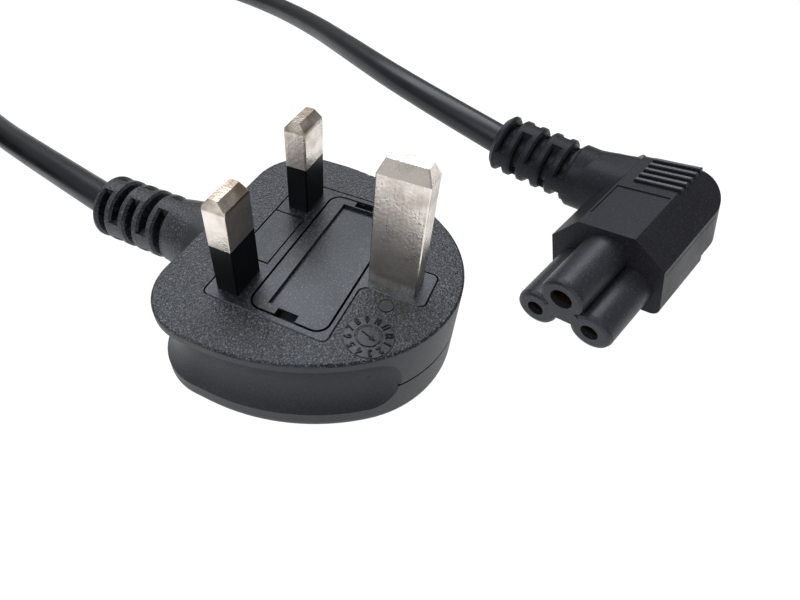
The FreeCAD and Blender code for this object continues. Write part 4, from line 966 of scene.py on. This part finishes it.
@dataclass
class Connector:
    """The right-angled appliance connector."""

    # Where its block stands and how it is turned, in degrees.
    foot: tuple[float, float, float] = (-27.75, 54.32, 2.42)
    yaw: float = 69.6
    nod: float = 7.5
    lean: float = -14.0
    # The finger ribs on its top, and how the strips that paint highlights on their crowns lie on them.
    ribs: int = 5
    rib_from: float = 15.2
    rib_pitch: float = 1.8
    rib_wide: float = 0.9
    rib_ends: tuple[float, float] = (-2.8, 5.4)
    rib_top: float = 16.05
    crown_from_end: float = 0.12
    crown_from_side: float = 0.16
    crown_sunk: float = 0.05
    crown_high: float = 0.14
    crown_round: float = 0.08
    # The mould seam along its side.
    side: float = 10.1
    seam_high: float = 9.3
    seam_half: float = 0.06
    seam_ends: tuple[float, float] = (0.5, 19.0)
    seam_sunk: float = 0.05
    seam_proud: float = 0.015
    seam_round: float = 0.01
    # Where its strain relief bends off, the bend in degrees, and how far on its free end lies.
    bend: tuple[float, float, float] = (-13.0, 20.5, 9.3)
    swing: float = 5.7
    rise: float = 16.3
    reach: float = 22.0

    def place(self) -> Matrix:
        """Gives the block's place in the object's frame.

        Returns:
            The move from the block's own frame, in millimetres.
        """
        turn = (Matrix.Rotation(math.radians(self.yaw), 4, "Z")
                @ Matrix.Rotation(math.radians(self.nod), 4, "X")
                @ Matrix.Rotation(math.radians(self.lean), 4, "Y"))
        return Matrix.Translation(self.foot) @ turn

    def strip(
        self,
        form: bmesh.types.BMesh,
        low: tuple[float, float, float],
        high: tuple[float, float, float],
        round_mm: float,
    ) -> None:
        """Adds a strip with rounded edges, given in the block's own frame.

        Args:
            form: The form that gets it.
            low: Its lowest corner.
            high: Its highest corner.
            round_mm: Radius of its edges.
        """
        made = bmesh.ops.create_cube(form, size=1.0)["verts"]
        bmesh.ops.scale(form, verts=made, vec=[b - a for a, b in zip(low, high)])
        bmesh.ops.translate(form, verts=made, vec=[(a + b) / 2 for a, b in zip(low, high)])
        edges = list({edge for spot in made for edge in spot.link_edges})
        bmesh.ops.bevel(form, geom=edges, offset=round_mm, affect="EDGES", segments=2,
                        profile=0.5, material=-1)

    def seat(self, form: bmesh.types.BMesh) -> bmesh.types.BMesh:
        """Moves a form from the block's own frame, in millimetres, to the object's, in metres.

        Args:
            form: The form.

        Returns:
            The same form.
        """
        bmesh.ops.transform(form, matrix=Matrix.Scale(MM, 4) @ self.place(), verts=form.verts)
        bmesh.ops.recalc_face_normals(form, faces=form.faces)
        return form

    def rib_crowns(self) -> None:
        """Makes the strips along the finger ribs' crowns, in a paler finish that paints their
        highlights.
        """
        form = bmesh.new()
        left, right = self.rib_ends[0] + self.crown_from_end, self.rib_ends[1] - self.crown_from_end
        low, high = self.rib_top - self.crown_sunk, self.rib_top + self.crown_high
        for rib in range(self.ribs):
            front = self.rib_from + rib * self.rib_pitch
            back = front + self.rib_wide
            self.strip(form, (left, front + self.crown_from_side, low),
                       (right, back - self.crown_from_side, high), self.crown_round)
        piece("rib_crowns", self.seat(form), Palette.RIBS)

    def side_seam(self) -> None:
        """Makes the mould seam along the block's open side, painted near black for its shadow."""
        form = bmesh.new()
        front, back = self.seam_ends
        low, high = self.seam_high - self.seam_half, self.seam_high + self.seam_half
        self.strip(form, (self.side - self.seam_sunk, front, low),
                   (self.side + self.seam_proud, back, high), self.seam_round)
        piece("side_seam", self.seat(form), Palette.SEAM)

    def relief_webs(self) -> None:
        """Makes the webs of the bent strain relief."""
        turn = (Matrix.Rotation(math.radians(self.swing), 4, "Z")
                @ Matrix.Rotation(math.radians(self.rise), 4, "Y"))
        along = Matrix.Translation((-self.reach, 0, 0)) @ Matrix.Rotation(math.radians(90), 4, "Y")
        place = self.place() @ Matrix.Translation(self.bend) @ turn @ along
        ReliefWebs("connector_relief_webs", place, Palette.CONNECTOR, "connector_pvc").build()

    def build(self, frame: dict) -> None:
        """Dresses the connector's nodes, and makes the painted highlights on its rib crowns, its seam
        with its painted shadow, and the webs.
        """
        dress(frame, ["connector_body"], Palette.CONNECTOR)
        dress(frame, ["connector_insert"], Palette.INSERT)
        # The contacts' dim brown is painted shade for the depth of the bores.
        dress(frame, ["contact_live", "contact_neutral", "contact_earth"], Palette.CONTACT)
        dress(frame, ["connector_core_live"], Palette.BROWN)
        dress(frame, ["connector_core_neutral"], Palette.BLUE)
        dress(frame, ["connector_core_earth"], Palette.STRIPED)
        dress(frame, ["cord_end_connector"], Palette.SHEATH)
        self.rib_crowns()
        self.side_seam()
        self.relief_webs()


def main() -> None:
    """Builds the set and dresses every piece."""
    logging.basicConfig(level=logging.INFO, format="%(name)s: %(message)s")
    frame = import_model()
    studio = Studio()
    studio.camera()
    MainsCord().build()
    Plug().build(frame)
    DateDial().build()
    FuseCarrier().build(frame)
    Connector().build(frame)
    studio.floor()
    studio.light()


if __name__ == "__main__":
    main()
